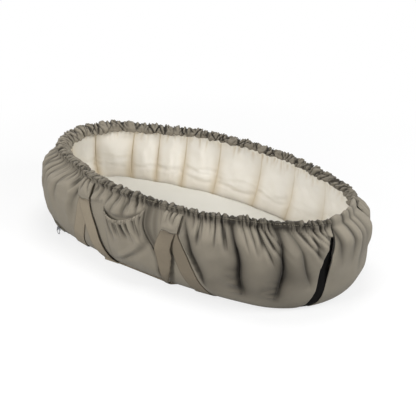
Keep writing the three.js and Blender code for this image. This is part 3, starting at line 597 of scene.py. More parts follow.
def cloth_mesh(name, columns, rows, place, width, height, ring=False):
    """A grid of faces laid out by place(u, v), which gives points and the painted shade of their folds.
    """
    mesh = new_mesh(flat_grid(columns, rows), name)
    points, fold = place(*shares_of(mesh))
    set_points(mesh, points)
    store_painted_shade(mesh, fold + np.zeros(len(points)))
    scale_cloth_map(mesh, width, height)
    if ring:
        rework(mesh, lambda bm: bmesh.ops.remove_doubles(bm, verts=bm.verts[:], dist=1e-5))
    return mesh


def add_piece(name, mesh, finish, body, slot, *stands_for):
    """A piece of the nest: its finish, the body it moves with and the nodes it stands for."""
    mesh.materials.append(finish)
    mesh.shade_smooth()
    made = bpy.data.objects.new(name, mesh)
    bpy.context.scene.collection.objects.link(made)
    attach(made, body)
    if stands_for:
        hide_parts(*stands_for)
    return made


def thicken(piece, thickness, offset=-1.0):
    made = piece.modifiers.new("cloth thickness", "SOLIDIFY")
    made.thickness, made.offset = thickness, offset


def sew(name, finish, slot, node, grid, place, size, thickness=None, offset=-1.0, ring=False):
    """A sewn piece of the nest: its grid in columns and rows, its size across and along."""
    mesh = cloth_mesh(name, *grid, place, *size, ring=ring)
    piece = add_piece(name, mesh, finish, "nest", slot, node)
    if thickness:
        thicken(piece, thickness, offset)


def add_blocks(name, finish, slot, block, places, *stands_for):
    """A row of equal small blocks, such as stitches or teeth, each at its place and turn."""
    bm = bmesh.new()
    for point, turn in places:
        made = bmesh.ops.create_cube(bm, size=1)["verts"]
        bmesh.ops.scale(bm, verts=made, vec=block)
        bmesh.ops.rotate(bm, verts=made, matrix=turn)
        bmesh.ops.translate(bm, verts=made, vec=Vector(point))
    add_piece(name, new_mesh(bm, name), finish, "nest", slot, *stands_for)


def subdivide(piece):
    made = piece.modifiers.new("soft surface", "SUBSURF")
    made.levels = made.render_levels = 1


def even_out(bm, verts, rounds=3):
    for _ in range(rounds):
        bmesh.ops.smooth_vert(bm, verts=verts, factor=0.5, use_axis_x=True, use_axis_y=True,
                              use_axis_z=True)


def join_smoothly(before, start, end, after, t):
    """Place between two points of a row, at a share t, on a curve that goes through them."""
    return 0.5 * (2 * start + (end - before) * t
                  + (2 * before - 5 * start + 4 * end - after) * t ** 2
                  + (3 * start - 3 * end + after - before) * t ** 3)


def crease_shade_share(creases, full, power=1.2):
    """Painted shade in a crease, from how deep it is."""
    return (np.maximum(creases, 0) / full) ** power


def rounded_ends(u, power):
    return np.sqrt(np.maximum(1 - (2 * u - 1) ** power, 0))


class Gathers:
    """Folds that run down from a gathered edge, each with its own place, slant and reach."""

    def __init__(self, seed, start, end, pitch, length, depth, width, slant):
        rng = np.random.default_rng(seed)
        count = max(int((end - start) / pitch), 1)
        self.place = start + (np.arange(count) + 0.5 + rng.uniform(-0.38, 0.38, count)) * pitch
        self.slant = rng.normal(0, slant, count)
        self.length = length[0] + (length[1] - length[0]) * rng.uniform(0, 1, count) ** 2
        self.depth = rng.uniform(*depth, count)
        self.width = rng.uniform(*width, count)

    def add(self, place, slant, length, depth, width):
        """One fold at a given place."""
        for name, value in (("place", place), ("slant", slant), ("length", length),
                            ("depth", depth), ("width", width)):
            setattr(self, name, np.append(getattr(self, name), value))

    def depth_at(self, along, drop):
        total = np.zeros_like(along)
        for place, slant, length, depth, width in zip(self.place, self.slant, self.length,
                                                      self.depth, self.width):
            spread = width * (1 + 1.4 * np.clip(drop / length, 0, 1))
            offset = (along - place - slant * drop) / spread
            near = (np.abs(offset) < 4) & (drop < length)
            fade = np.clip(1 - (drop[near] / length) ** 2, 0, 1) ** 1.3
            away = np.abs(offset[near])
            dip = 0.30 * bell(away, 1) + 0.70 * np.exp(-1.7 * away) - 0.22 * bell(away - 2.1, 0.8)
            total[near] += depth * dip * fade
        return total


class Undulation:
    """Slow random swells of a cloth, as a sum of a few waves."""

    def __init__(self, seed, waves, length, size):
        rng = np.random.default_rng(seed)
        self.heading = rng.uniform(0, math.pi, waves)
        self.length = length * rng.uniform(0.6, 1.7, waves)
        self.phase = rng.uniform(0, 2 * math.pi, waves)
        self.size = size / math.sqrt(waves)

    def at(self, x, y):
        total = np.zeros_like(x)
        for heading, length, phase in zip(self.heading, self.length, self.phase):
            across = x * math.cos(heading) + y * math.sin(heading)
            total += np.sin(2 * math.pi * across / length + phase)
        return total * self.size


# Outer cover

def strap_x(anchor, floor, z):
    return floor + (anchor - floor) * np.minimum(z / ANCHOR_HEIGHT, 1)


def free_share(x, z):
    """How far the cover is free of the webbing and the pocket at a place: 0 held, 1 free."""
    half = WEBBING_WIDTH / 2
    head = strap_x(HEAD_ANCHOR_X, HEAD_LOAD_X, z) - half - x
    foot = x - strap_x(FOOT_ANCHOR_X, FOOT_LOAD_X, z) - half
    return np.maximum(smooth(head, 0.008, 0.026), smooth(foot, 0.003, 0.012))


def upper_share(x, z):
    """How far the cover is free above the pocket and beside the tabs, where it is gathered."""
    beside = smooth(np.abs(x - HEAD_ANCHOR_X), 0.019, 0.030)
    beside = beside * smooth(np.abs(x - FOOT_ANCHOR_X), 0.019, 0.030)
    above = mouth_height((x - POCKET_HEAD_X) / (POCKET_FOOT_X - POCKET_HEAD_X))
    return 0.62 * beside * smooth(z, above + 0.001, above + 0.016)


def pleat_field(angle, z):
    """Share of the fold that stands between the deep pleats, and how deep in a pleat it is, as painted
    shade that also spreads soft over the lobes beside it.
    """
    climb = np.clip(z / RIM_LEVEL, 0, 1)
    along = run_of(angle)
    share, deep, wrinkle = np.ones_like(along), np.zeros_like(along), np.zeros_like(along)
    for number, (rim, base, depth) in enumerate(PLEATS):
        depth = depth * (smooth(z, 0.055, 0.100) if number == 3 else 1.0)
        sway = 0.002 * np.sin(z / 0.014 + number * 2)
        offset = along - run_of(base + (rim - base) * climb) + sway
        wide = bell(offset, np.where(offset < 0, 0.6, 1.3) * PLEAT_WIDTH)
        sharp = np.exp(-np.abs(offset) / (np.where(offset < 0, 0.45, 1.1) * CREASE_WIDTH))
        share = share - depth * (0.42 * wide + 1.05 * sharp)
        share = share + 0.34 * depth * bell(np.abs(offset) - 0.036, 0.020)
        # painted shade: sharp in each pleat's crease, wide and soft over the lobes beside it, lighter
        # towards the rim
        deep = deep + 1.15 * depth * np.exp(-np.abs(offset) / np.where(offset < 0, 0.0075, 0.0050))
        lobe_shade = 0.46 * depth * (1 - 0.65 * smooth(z, 0.095, 0.160))
        deep = deep + lobe_shade * bell(offset, np.where(offset < 0, 0.056, 0.030))
        for step in range(4):
            level = 0.048 + 0.0140 * step + 0.004 * math.sin(number * 5 + step * 3)
            tilt = 0.30 * math.sin(number * 3 + step * 2)
            ridge = bell(z - level - tilt * offset, 0.0044) - 0.7 * bell(
                z - level - 0.0075 - tilt * offset, 0.0040)
            reach = smooth(-offset, 0.001, 0.008) * (1 - smooth(-offset, 0.020, 0.044))
            wrinkle = wrinkle + ridge * reach * (0.6 + 0.4 * math.sin(step * 7 + number)) * depth
    return np.maximum(share, -0.5), np.clip(deep, 0, 1), wrinkle


def side_gathers(seed):
    start, end = run_of(HEAD_SEAM), run_of(COVER_END)
    return Gathers(seed, start, end, pitch=0.0125, length=(0.016, 0.060), depth=(0.0032, 0.0078),
                   width=(0.0024, 0.0044), slant=0.14)


def near_gathers():
    """The near side's gathers, the longest of them placed as photographed."""
    made = side_gathers(7)
    photographed = [(312.0, 0.30, 0.085, 0.0085, 0.0036), (313.7, 0.55, 0.070, 0.0080, 0.0034),
                    (309.5, 0.05, 0.052, 0.0080, 0.0038), (316.0, 0.55, 0.048, 0.0070, 0.0032),
                    (330.5, 0.45, 0.048, 0.0080, 0.0036), (333.5, 0.75, 0.060, 0.0060, 0.0032),
                    (326.5, 0.70, 0.075, 0.0080, 0.0036), (337.0, 0.50, 0.040, 0.0060, 0.0030),
                    (299.5, 0.10, 0.052, 0.0085, 0.0040), (292.0, -0.15, 0.060, 0.0070, 0.0038),
                    (260.5, -0.35, 0.060, 0.0080, 0.0050), (264.5, -0.10, 0.055, 0.0070, 0.0056),
                    (268.5, 0.15, 0.050, 0.0064, 0.0050), (273.0, 0.30, 0.085, 0.0085, 0.0044),
                    (277.5, 0.20, 0.060, 0.0080, 0.0040), (257.0, -0.20, 0.050, 0.0070, 0.0040),
                    (246.5, -0.30, 0.080, 0.0075, 0.0050), (249.5, -0.20, 0.060, 0.0070, 0.0044)]
    for angle, slant, length, depth, width in photographed:
        made.add(run_of(angle), slant, length, depth, width)
    return made


NEAR_GATHERS = near_gathers()
FAR_GATHERS = side_gathers(23)
HEAD_GATHERS = Gathers(5, run_of(360 - HEAD_SEAM), run_of(HEAD_SEAM), pitch=0.0100,
                       length=(0.022, 0.105), depth=(0.0032, 0.0080), width=(0.0026, 0.0048),
                       slant=0.12)


# Swells of each cloth: the near side, the head end and the far side
SWELLS = [(Undulation(12, 9, 0.095, 0.0019), Undulation(14, 12, 0.034, 0.0007)),
          (Undulation(3, 9, 0.100, 0.0024), Undulation(4, 12, 0.036, 0.0008)),
          (Undulation(31, 9, 0.095, 0.0019), Undulation(33, 12, 0.034, 0.0007))]
NEAR, HEAD, FAR = range(3)


def pocket_sides(z):
    """The pocket's head and foot edges, along the nest."""
    climb = np.clip((z - POCKET_FOOT) / (POCKET_CORNER - POCKET_FOOT), 0, 1)
    head = POCKET_HEAD_FLOOR_X + (POCKET_HEAD_X - POCKET_HEAD_FLOOR_X) * climb
    foot = POCKET_FOOT_FLOOR_X + (POCKET_FOOT_X - POCKET_FOOT_FLOOR_X) * smooth(climb, 0.35, 1)
    return head, foot


def cover_surface(angle, z, part):
    """How far the cover stands out from its valleys, and how much painted shade each point gets, from
    how deep in a pleat or crease it lies.
    """
    along, drop = run_of(angle), np.maximum(RIM_LEVEL - z, 0)
    swells, ripples = SWELLS[part]
    x, _ = valley(z).at(angle)
    free, upper = free_share(x, z), upper_share(x, z)
    share, deep, wrinkle = pleat_field(angle, z)
    gathers = (NEAR_GATHERS, HEAD_GATHERS, FAR_GATHERS)[part]
    if part == HEAD:
        free, upper, share, deep, wrinkle = np.ones_like(along), 0, 1, 0, 0
    loose = np.maximum(free, upper)
    neck = 1 - 0.60 * bell(drop, 0.012)
    puff = 0.0035 * bell(drop - 0.026, 0.016) * loose
    stand = FOLD * fold_share(z) * neck * (free * share + (1 - free) * upper) + puff
    creases = gathers.depth_at(along, drop) * (0.25 + 0.75 * loose)
    waves = swells.at(along, z) + ripples.at(along, z) * (0.4 + 0.6 * fold_share(z))
    waves = waves * smooth(z, 0.008, 0.05) * (0.25 + 0.75 * loose)
    rise = stand + waves * neck - creases + wrinkle * 0.0032 * free * smooth(z, 0.012, 0.03)
    floor = np.where(loose > 0.5, -0.0056, -0.0010 - 0.0042 * 2 * loose)
    if part == HEAD:
        ends = np.minimum(angle - (360 - HEAD_SEAM), HEAD_SEAM - angle) * 0.0036
        held = free_share(x, z)
        rise = np.where(rise > 0, rise * (held + (1 - held) * smooth(ends, 0, 0.03)), rise)
    # painted shade: from the pleats, and from how deep the gathers' creases are
    depth = np.maximum(deep * free * smooth(z, 0.02, 0.06), crease_shade_share(creases, 0.0062, 1.3))
    if part == NEAR:
        # beside the pocket's foot edge and along a slanting fold: a real dip in the cloth, with painted
        # shade in it
        beside = x - pocket_sides(z)[1] - 0.006
        gully = bell(beside, np.where(beside < 0, 0.006, 0.016)) * smooth(z, 0.04, 0.07)
        sag = bell(x - 0.052 + 0.16 * (z - 0.1), 0.009) * smooth(z, 0.085, 0.130)
        rise = rise - 0.0032 * gully - 0.0045 * sag
        depth = np.maximum(depth, np.maximum(0.72 * gully, 0.50 * sag))
    return np.maximum(rise, floor), depth


def cover_points(angle, z, rise):
    return ring_point(valley(z).inset(-rise), angle, z)


def side_cover(part):
    """A long side of the outer cover, from the head seam to the slit beside the wrap panel."""
    start = run_of(HEAD_SEAM + 0.05)

    def place(u, v):
        u = 1 - u if part == FAR else u
        z = climb_height(v)
        end = run_of(np.interp(z, ROW_HEIGHTS, COVER_EDGE))
        angle = angle_of(start + (end - start) * u)
        rise, fold = cover_surface(angle, z, part)
        to_slit = (1 - u) * (end - start)
        rise = rise * (1 - 0.75 * np.exp(-to_slit / 0.006)) - 0.0012 * np.exp(-to_slit / 0.003)
        points = cover_points(angle, z, rise)
        points[:, 1] *= -1 if part == FAR else 1
        return points, fold
    return place


def head_cover(u, v):
    """The cover round the head end, from seam to seam."""
    z = climb_height(v)
    start, end = run_of(360 - HEAD_SEAM), run_of(HEAD_SEAM)
    angle = angle_of(start + (end - start) * u)
    rise, fold = cover_surface(angle, z, HEAD)
    return cover_points(angle, z, rise), fold


def add_cover():
    for name, node, place, grid, length in (
            ("near_side_cloth", "cover_near_side", side_cover(NEAR), (740, 64), 0.80),
            ("far_side_cloth", "cover_far_side", side_cover(FAR), (740, 64), 0.80),
            ("head_end_cloth", "cover_head_end", head_cover, (600, 70), 0.60)):
        sew(name, TWILL, "cover_cloth", node, grid, place, (length, 0.21), COVER_CLOTH)


# Rim casing

def spline(table, share):
    """Smooth curve through evenly spaced rows of a table."""
    table = np.asarray(table, float)
    place = np.clip(share, 0, 1 - 1e-9) * (len(table) - 1)
    row = place.astype(int)
    rows = (table[np.clip(row + step, 0, len(table) - 1)] for step in (-1, 0, 1, 2))
    return join_smoothly(*rows, (place - row)[:, None])


# Section of the rim: millimetres out from its middle and up from its base, outside to inside
RIM_SECTION = [(9.0, -6.0), (9.6, 1.0), (9.4, 8.0), (7.4, 15.0), (2.6, 19.6), (-3.2, 19.8),
               (-8.2, 16.4), (-11.2, 12.2), (-12.0, 8.6), (-10.8, 5.0)]
SKIRT = 0.16
STITCH_LINE = 0.30
STITCHES = 520
STITCH = (0.0028, 0.0009, 0.0009)
RIM_GIRTH = 0.055


def add_rim():
    """Gathered rim: cloth bunched over the elastic, from the cover's side to the liner's."""
    bunches = Gathers(41, 0, run_of(360), pitch=0.0068, length=(0.05, 0.12),
                      depth=(0.0034, 0.0068), width=(0.0012, 0.0023), slant=0.60)
    lobes = Gathers(47, 0, run_of(360), pitch=0.0170, length=(0.06, 0.14),
                    depth=(0.0038, 0.0076), width=(0.0019, 0.0036), slant=0.40)
    fine = Gathers(43, 0, run_of(360), pitch=0.0058, length=(0.03, 0.07),
                   depth=(0.0006, 0.0018), width=(0.0012, 0.0020), slant=0.6)
    wobble, lumps = Undulation(17, 8, 0.060, 0.0013), Undulation(18, 10, 0.024, 0.0019)
    slack, ragged = Undulation(21, 6, 0.070, 1.0), Undulation(51, 9, 0.017, 0.0017)

    def place(u, v):
        edge = np.interp(v, [0, SKIRT, 0.30, 0.5], [COVER_EDGE[-2] + 1.5, COVER_EDGE[-1], 343.6,
                                                    346.5])
        start, end = run_of(360 - edge), run_of(edge)
        tucked = 1 - smooth((0.5 - np.abs(u - 0.5)) * (end - start), 0, 0.016)
        run = start + (end - start) * u
        angle, over = angle_of(run), v * RIM_GIRTH
        at_head = bell((angle - 180) / 62, 1.0)
        z_skirt = RIM_LEVEL - 0.0115 * (1 - v / SKIRT)
        rises, folds = zip(*(cover_surface(where, z_skirt, part) for part, where in
                             ((NEAR, angle), (HEAD, angle), (FAR, 360 - angle))))
        zones = [angle > HEAD_SEAM, angle > 360 - HEAD_SEAM]
        rise = np.where(zones[0], rises[0], np.where(zones[1], rises[1], rises[2]))
        # the cover's painted shade, carried on to the skirt and followed by the rim's creases
        cover_shade = np.where(zones[0], folds[0], np.where(zones[1], folds[1], folds[2]))
        skirt = cover_points(angle, z_skirt, rise - 0.0008 + 0.0030 * smooth(v, 0, SKIRT))

        tight = np.clip(0.88 + 0.26 * slack.at(run, 0 * v), 0.55, 1.1) * (1 + 0.35 * smooth(v, 0.4, 0.6))
        follow = np.clip(cover_shade, 0, 1.1) * (1 - 0.6 * smooth(v, 0.45, 0.75))
        near = smooth(angle, HEAD_SEAM, HEAD_SEAM + 12)
        bunched = bunches.depth_at(run, over) * (1 - near) + lobes.depth_at(run, over) * near
        crease = tight * bunched * smooth(v, 0.05, 0.3)
        crease = crease + fine.depth_at(run, over) * (1 - 0.55 * near) + 0.0036 * follow
        crease = np.clip(crease, -0.0014, 0.0066) * (1 - 0.35 * smooth(v, 0.78, 0.95))
        flare = crease - lumps.at(run, over * 1.6) - 0.0015 * bell(v - STITCH_LINE, 0.10) * at_head
        step = 1e-3
        section = spline(RIM_SECTION, v) * 1e-3
        section = section * (1 - (tucked * smooth(v, 0.25, 0.5))[:, None] * (0.42, 0.16))
        way = spline(RIM_SECTION, v + step) - spline(RIM_SECTION, v - step)
        way /= np.linalg.norm(way, axis=1, keepdims=True)
        out = section[:, 0] - flare * way[:, 1] + wobble.at(run + 0.4, 0 * v)
        up = section[:, 1] + flare * way[:, 0]
        out = out - 0.012 * at_head * smooth(v, 0.45, 1) + 0.0035 * at_head * bell(v - 0.35, 0.15)
        out = out + 0.0045 * bell(angle - 40, 24) * (1 - smooth(v, 0.55, 0.9))
        up = up - 0.0016 * (1 + np.sin(run / 0.031 + 2 * np.sin(run / 0.083))) * smooth(v, 0.3, 0.5)
        up = up - (ragged.at(run, 0 * v) + 0.30 * crease) * smooth(v, 0.80, 1.0)
        up = up - 0.0085 * at_head * smooth(v, 0.72, 1.0)
        groove = bell(v - STITCH_LINE, 0.018)
        z = np.minimum(CASING_BASE + up, NEST_HEIGHT + 0.0015)
        rolled = ring_point(CASING_OVAL.inset(-(out - 0.0011 * groove)), angle, z)
        low = (1 - smooth(v, 0.6 * SKIRT, 1.35 * SKIRT))[:, None]
        points = skirt * low + rolled * (1 - low)
        # painted shade on the casing: an even share, less at the head end and more on the near side,
        # darker in its creases and in the stitched groove
        casing_shade = 0.34 * (1 - 0.8 * at_head) + 0.20 * near + crease_shade_share(crease, 0.0037, 1.1)
        lower = low[:, 0]
        return points, (casing_shade + 0.35 * groove) * (1 - lower) + lower * np.clip(cover_shade, 0, 1)

    seam = (np.arange(STITCHES) + 0.5) / STITCHES
    here, ahead = (place(seam + step, np.full(STITCHES, STITCH_LINE))[0] for step in (0, 2e-4))
    add_blocks("rim_topstitching", THREAD, "cover_cloth", STITCH,
               [(point, Vector(after - point).to_track_quat("X", "Z").to_matrix())
                for point, after in zip(here, ahead)])
    sew("rim_casing_cloth", TWILL, "cover_cloth", "rim_casing", (1640, 27), place,
        (1.95, RIM_GIRTH), 0.0008)

    def cord(u, v):
        turn = 2 * math.pi * v
        oval = CASING_OVAL.inset(-0.0020 * np.cos(turn))
        return ring_point(oval, angle_of(RUN_LENGTHS[-1] * u), CASING_BASE + 0.0045
                          + 0.0020 * np.sin(turn)), 0
    sew("rim_elastic_cord", ELASTIC, "elastic", "rim_elastic", (240, 10), cord, (2.0, 0.017),
        ring=True)


# Foot-end wrap panel and the lining beside it

WALL_PART = 0.70
RIM_PART = 0.86
WRAP_REACH = 0.0078
WRAP_CREST = 0.0212
WRAP_HEM = 0.150


def add_foot_wrap():
    """Smooth panel of the foot end: up the wall, over the rim and down inside."""
    gathers = Gathers(29, -run_of(17), run_of(17), pitch=0.029, length=(0.09, 0.17),
                      depth=(0.0024, 0.0052), width=(0.006, 0.010), slant=0.10)
    swells = Undulation(19, 9, 0.065, 0.0017)

    def place(u, v):
        z = climb_height(np.clip(v / WALL_PART, 0, 1))
        drop = np.maximum(RIM_LEVEL - z, 0)
        half = 360 - np.interp(z, ROW_HEIGHTS, WRAP_EDGE)
        angle = half * (2 * u - 1)
        run = np.sign(angle) * run_of(np.abs(angle))
        creases = gathers.depth_at(run, drop)
        rise = FOLD * smooth(z, 0.045, 0.130) * (1 - 0.35 * bell(RIM_LEVEL - z, 0.016)) - creases
        rise = rise + swells.at(run, z) * smooth(z, 0.012, 0.05) + 0.0085 * bell(z - 0.160, 0.024)
        rise = rise * (1 - 0.45 * np.exp(-(run_of(half) - np.abs(run)) / 0.007))
        wall = ring_point(valley(z).inset(-rise), angle, z)

        over = math.pi * np.clip((v - WALL_PART) / (RIM_PART - WALL_PART), 0, 1)
        reach = WRAP_REACH + 0.0008 * np.sin(run / 0.011) - 0.25 * creases
        rim = ring_point(CASING_OVAL.inset(-reach * np.cos(over)), angle,
                         CASING_BASE + (WRAP_CREST - 0.9 * creases) * np.sin(over))

        down = np.clip((v - RIM_PART) / (1 - RIM_PART), 0, 1)
        z = RIM_LEVEL - (RIM_LEVEL - WRAP_HEM) * down
        inside = ring_point(crown(z).inset(0.0008 + 0.0016 * down), angle, z)
        on_wall, on_rim = (v < WALL_PART)[:, None], (v < RIM_PART)[:, None]
        # the second value is painted shade in the gathers' creases
        return np.where(on_wall, wall, np.where(on_rim, rim, inside)), creases / 0.005

    mesh = cloth_mesh("foot_wrap_cloth", 130, 120, place, 0.26, 0.31)
    rework(mesh, lambda bm: even_out(bm, [vertex for vertex in bm.verts
                                          if vertex.co.z > RIM_LEVEL - 0.006]))
    panel = add_piece("foot_wrap_cloth", mesh, TWILL, "nest", "cover_cloth", "foot_wrap_panel")
    thicken(panel, COVER_CLOTH)


def add_foot_lining():
    # near-black sheets in the slits, partly lining and partly painted shadow of the slits' depth
    for name, side in (("foot_lining_near", 1), ("foot_lining_far", -1)):
        def place(u, v, side=side):
            u = u if side > 0 else 1 - u
            z = climb_height(v)
            start = np.interp(z, ROW_HEIGHTS, COVER_EDGE) - 1.2
            end = np.interp(z, ROW_HEIGHTS, WRAP_EDGE) + 1.2
            ruck = 0.0004 * np.sin(z / 0.006 + 3 * u)
            points = ring_point(valley(z).inset(0.0020 + ruck), start + (end - start) * u, z)
            points[:, 1] *= side
            return points, 0
        sew(f"{name}_cloth", LINING_AND_SLIT_SHADOW, "black_lining", name, (12, 60), place, (0.05, 0.2))


# Liner: stuffed channels and the wadded floor

PAD_FOOT = 0.0125
PAD_TUCK = 0.007
PAD_CELLS = 36
FOOT_PAD_WIDTH = 0.12


def channel_name(number):
    return f"liner_channel_{number:02d}"


def channel_mesh(number):
    """One stuffed channel: a closed pad, slack before it is filled."""
    seam, end = SEAM_ANGLES[number - 1], SEAM_ANGLES[number % len(SEAM_ANGLES)]
    end = end + 360 if end < seam else end
    bm = flat_grid(PAD_CELLS, PAD_CELLS)
    made = bmesh.ops.extrude_face_region(bm, geom=bm.faces[:])
    back = [item for item in made["geom"] if isinstance(item, bmesh.types.BMVert)]
    bmesh.ops.translate(bm, verts=back, vec=(0, 0, 1))
    mesh = new_mesh(bm, channel_name(number))
    is_back = points_of(mesh)[:, 2] > 0.5
    u, v = shares_of(mesh)
    z = PAD_FOOT + (PAD_TOP - PAD_FOOT) * v
    gap = np.degrees(0.00004 / np.minimum(crown(z).b, crown(z).r))
    angle = seam + gap + (end - seam - 2 * gap) * u
    foot = MATTRESS_TOP - PAD_TUCK
    open_share = np.sin(np.pi * np.clip((z - foot) / (PAD_TOP - foot), 0, 1)) ** 0.6

    # The channels are fuller towards the head end, where the photograph looks straight at them
    full = 0.5 - 0.5 * math.cos(math.radians((seam + end) / 2))
    pinch = np.abs(2 * u - 1)
    slack = 0.003
    sharp = 0.30 + 0.60 * full
    dip = sharp * pinch ** 1.5 + (1 - sharp) * smooth(pinch, 0.30, 1.0)
    depth = open_share * (slack + (SEAM_DEPTH * (0.50 + 0.72 * full) - slack) * dip)
    inner = ring_point(crown(np.minimum(z, RIM_LEVEL)).inset(-depth), angle, z)
    outer = ring_point(valley(z).inset(LINER_BACK), angle, z)
    set_points(mesh, np.where(is_back[:, None], outer, inner))

    # painted shade: warm and wide beside each seam, more low down and in the fuller pads, and a darker
    # line on the seam for the shade in its crevice
    beside = smooth(pinch, 0.45, 1.0) ** 1.6 * (0.30 + 0.70 * (1 - smooth(z, 0.080, 0.170)))
    sewn = (0.36 + 0.42 * full) * (beside + 0.36 * (1 - smooth(z, 0.056, 0.100)))
    sewn = sewn + (0.26 + 0.50 * full) * (pinch > 0.985)
    store_painted_shade(mesh, np.where(is_back, 0, sewn))
    scale_cloth_map(mesh, run_of(end) - run_of(seam) if end <= 360 else FOOT_PAD_WIDTH, 0.17)
    rework(mesh, lambda bm: bmesh.ops.recalc_face_normals(bm, faces=bm.faces[:]))
    low, high = 1 - smooth(z, 0.056, 0.070), smooth(z, 0.174, 0.186)
    held = np.where(is_back, 1, np.clip(smooth(pinch, 0.55, 0.99) + low + high, 0, 1))
    return mesh, held, pinch


def soften(mesh, sewn):
    """Evens a filled surface out, as wadding does under its cloth, but keeps its seams."""
    def work(bm):
        even_out(bm, [vertex for vertex in bm.verts if not sewn[vertex.index]])
        sharp = bm.edges.layers.float.new("crease_edge")
        for edge in bm.edges:
            edge[sharp] = float(all(sewn[vertex.index] for vertex in edge.verts))
    rework(mesh, work)


def fill_with_air(pieces, pressure, cap, frames=20):
    """Cloth simulation: the slack pads are filled, and no point moves further than the cap."""
    for piece, held in pieces:
        group = piece.vertex_groups.new(name="held")
        for index, weight in enumerate(held):
            group.add([index], float(weight), "REPLACE")
        cloth = piece.modifiers.new("filling", "CLOTH")
        settings = cloth.settings
        settings.quality = 4
        settings.mass = 0.3
        settings.tension_stiffness = settings.compression_stiffness = 15
        settings.bending_stiffness = 3.0
        settings.use_pressure = True
        settings.uniform_pressure_force = pressure
        settings.vertex_group_mass = "held"
        settings.shrink_min = -0.006
        settings.effector_weights.gravity = 0
        cloth.point_cache.frame_start, cloth.point_cache.frame_end = 1, frames
    scene = bpy.context.scene
    for number in range(1, frames + 1):
        scene.frame_set(number)
    graph = bpy.context.evaluated_depsgraph_get()
    for piece, _ in pieces:
        swollen = points_of(piece.evaluated_get(graph).data)
        slack = points_of(piece.data)
        move = swollen - slack
        length = np.linalg.norm(move, axis=1, keepdims=True)
        move *= np.minimum(1, cap / np.maximum(length, 1e-9))
        piece.modifiers.remove(piece.modifiers["filling"])
        piece.vertex_groups.clear()
        set_points(piece.data, slack + move)
    scene.frame_set(1)


def pucker_channel(mesh, seed, pinch):
    """Small folds under the rim and beside the seams, made after the pad is filled."""
    points = points_of(mesh)
    x, y, z = points.T
    angle = np.degrees(np.arctan2(y / crown(z).b, x / crown(z).a)) % 360
    along = run_of(angle)
    width, start = np.ptp(along), along.min()
    if width > 1:
        width, start = FOOT_PAD_WIDTH, 0
    gathers = Gathers(seed, start, start + width, pitch=0.0080, length=(0.014, 0.044),
                      depth=(0.0018, 0.0046), width=(0.0020, 0.0032), slant=0.12)
    creases = gathers.depth_at(along, np.maximum(PAD_TOP - 0.004 - z, 0))
    fold = values_of(mesh.attributes["fold"].data, "value", 1)[:, 0]
    swells = Undulation(seed + 100, 7, 0.05, 0.0011).at(along, z)
    ripple = 0.0010 * np.sin(z / 0.0030 + 2 * np.sin(z / 0.017)) * np.clip(fold * 2, 0, 1) ** 2
    rng = np.random.default_rng(seed + 300)
    for level in rng.uniform(0.074, 0.104, 3):
        bend = level + 0.004 * np.sin(along / 0.021 + level * 900)
        ripple = ripple + 0.0036 * bell(z - bend, 0.0032) * rng.uniform(0.3, 1)
    inward = np.hypot(x, y) < np.hypot(*valley(z).inset(LINER_BACK + 0.001).at(angle))
    move = np.where(inward & (z > 0.07), -creases + swells * smooth(z, 0.07, 0.09) - ripple, 0)
    move = move * (1 - smooth(pinch, 0.88, 1.0))
    set_points(mesh, points + values_of(mesh.vertices, "normal", 3) * move[:, None])
    # painted shade in the small creases, added to the pad's own
    store_painted_shade(mesh, fold + np.where(inward, crease_shade_share(creases, 0.0050, 1), 0))


def add_liner():
    pads = []
    for number in range(1, len(SEAM_ANGLES) + 1):
        mesh, held, pinch = channel_mesh(number)
        name = channel_name(number)
        pad = add_piece(f"{name}_pad", mesh, LINER, "nest", "liner_cloth", name)
        pads.append((pad, held, pinch))
    fill_with_air([(pad, held) for pad, held, _ in pads], pressure=1.8, cap=0.0045)
    for number, (pad, _, pinch) in enumerate(pads):
        soften(pad.data, pinch > 0.999)
        pucker_channel(pad.data, 200 + number, pinch)
        subdivide(pad)


def oval_pad(name, oval, levels, edge, cell, dome=0.0):
    """A closed pad: an oval plate with rounded edges, remeshed into even cells."""
    low, high = levels
    bm = bmesh.new()
    bmesh.ops.create_circle(bm, cap_ends=True, segments=120, radius=1)
    for vertex in bm.verts:
        angle = math.degrees(math.atan2(vertex.co.y, vertex.co.x))
        vertex.co = (*map(float, oval.at(np.array(angle))), low)
    made = bmesh.ops.extrude_face_region(bm, geom=bm.faces[:])
    top = [item for item in made["geom"] if isinstance(item, bmesh.types.BMVert)]
    bmesh.ops.translate(bm, verts=top, vec=(0, 0, high - low))
    bmesh.ops.recalc_face_normals(bm, faces=bm.faces[:])
    rims = [e for e in bm.edges if abs(e.verts[0].co.z - e.verts[1].co.z) < 1e-6
            and len({round(f.normal.z) for f in e.link_faces}) == 2]
    bmesh.ops.bevel(bm, geom=rims, offset=edge, segments=5, profile=0.5, affect="EDGES",
                    material=-1)
    solid = bpy.data.objects.new(name, new_mesh(bm, name))
    bpy.context.scene.collection.objects.link(solid)
    remesh = solid.modifiers.new("cells", "REMESH")
    remesh.mode, remesh.voxel_size = "VOXEL", cell
    graph = bpy.context.evaluated_depsgraph_get()
    even = bpy.data.meshes.new_from_object(solid.evaluated_get(graph))
    bpy.data.objects.remove(solid)
    points = points_of(even)
    x, y, z = points.T
    spread = np.clip(1 - (x / oval.a) ** 2 - (y / oval.b) ** 2, 0, 1)
    points[:, 2] += np.where(z > (low + high) / 2, dome * np.sqrt(spread), 0)
    set_points(even, points)
    even.name = name
    return even


# Undersides and tops of the pads, and the pitch of the floor pad's quilting
FLOOR_PAD_LEVELS = (0.0056, 0.0118)
FOAM_LEVELS = (0.0128, 0.0535)
SHEET_LEVELS = (0.0127, 0.0578)
QUILT_PITCH = 0.064


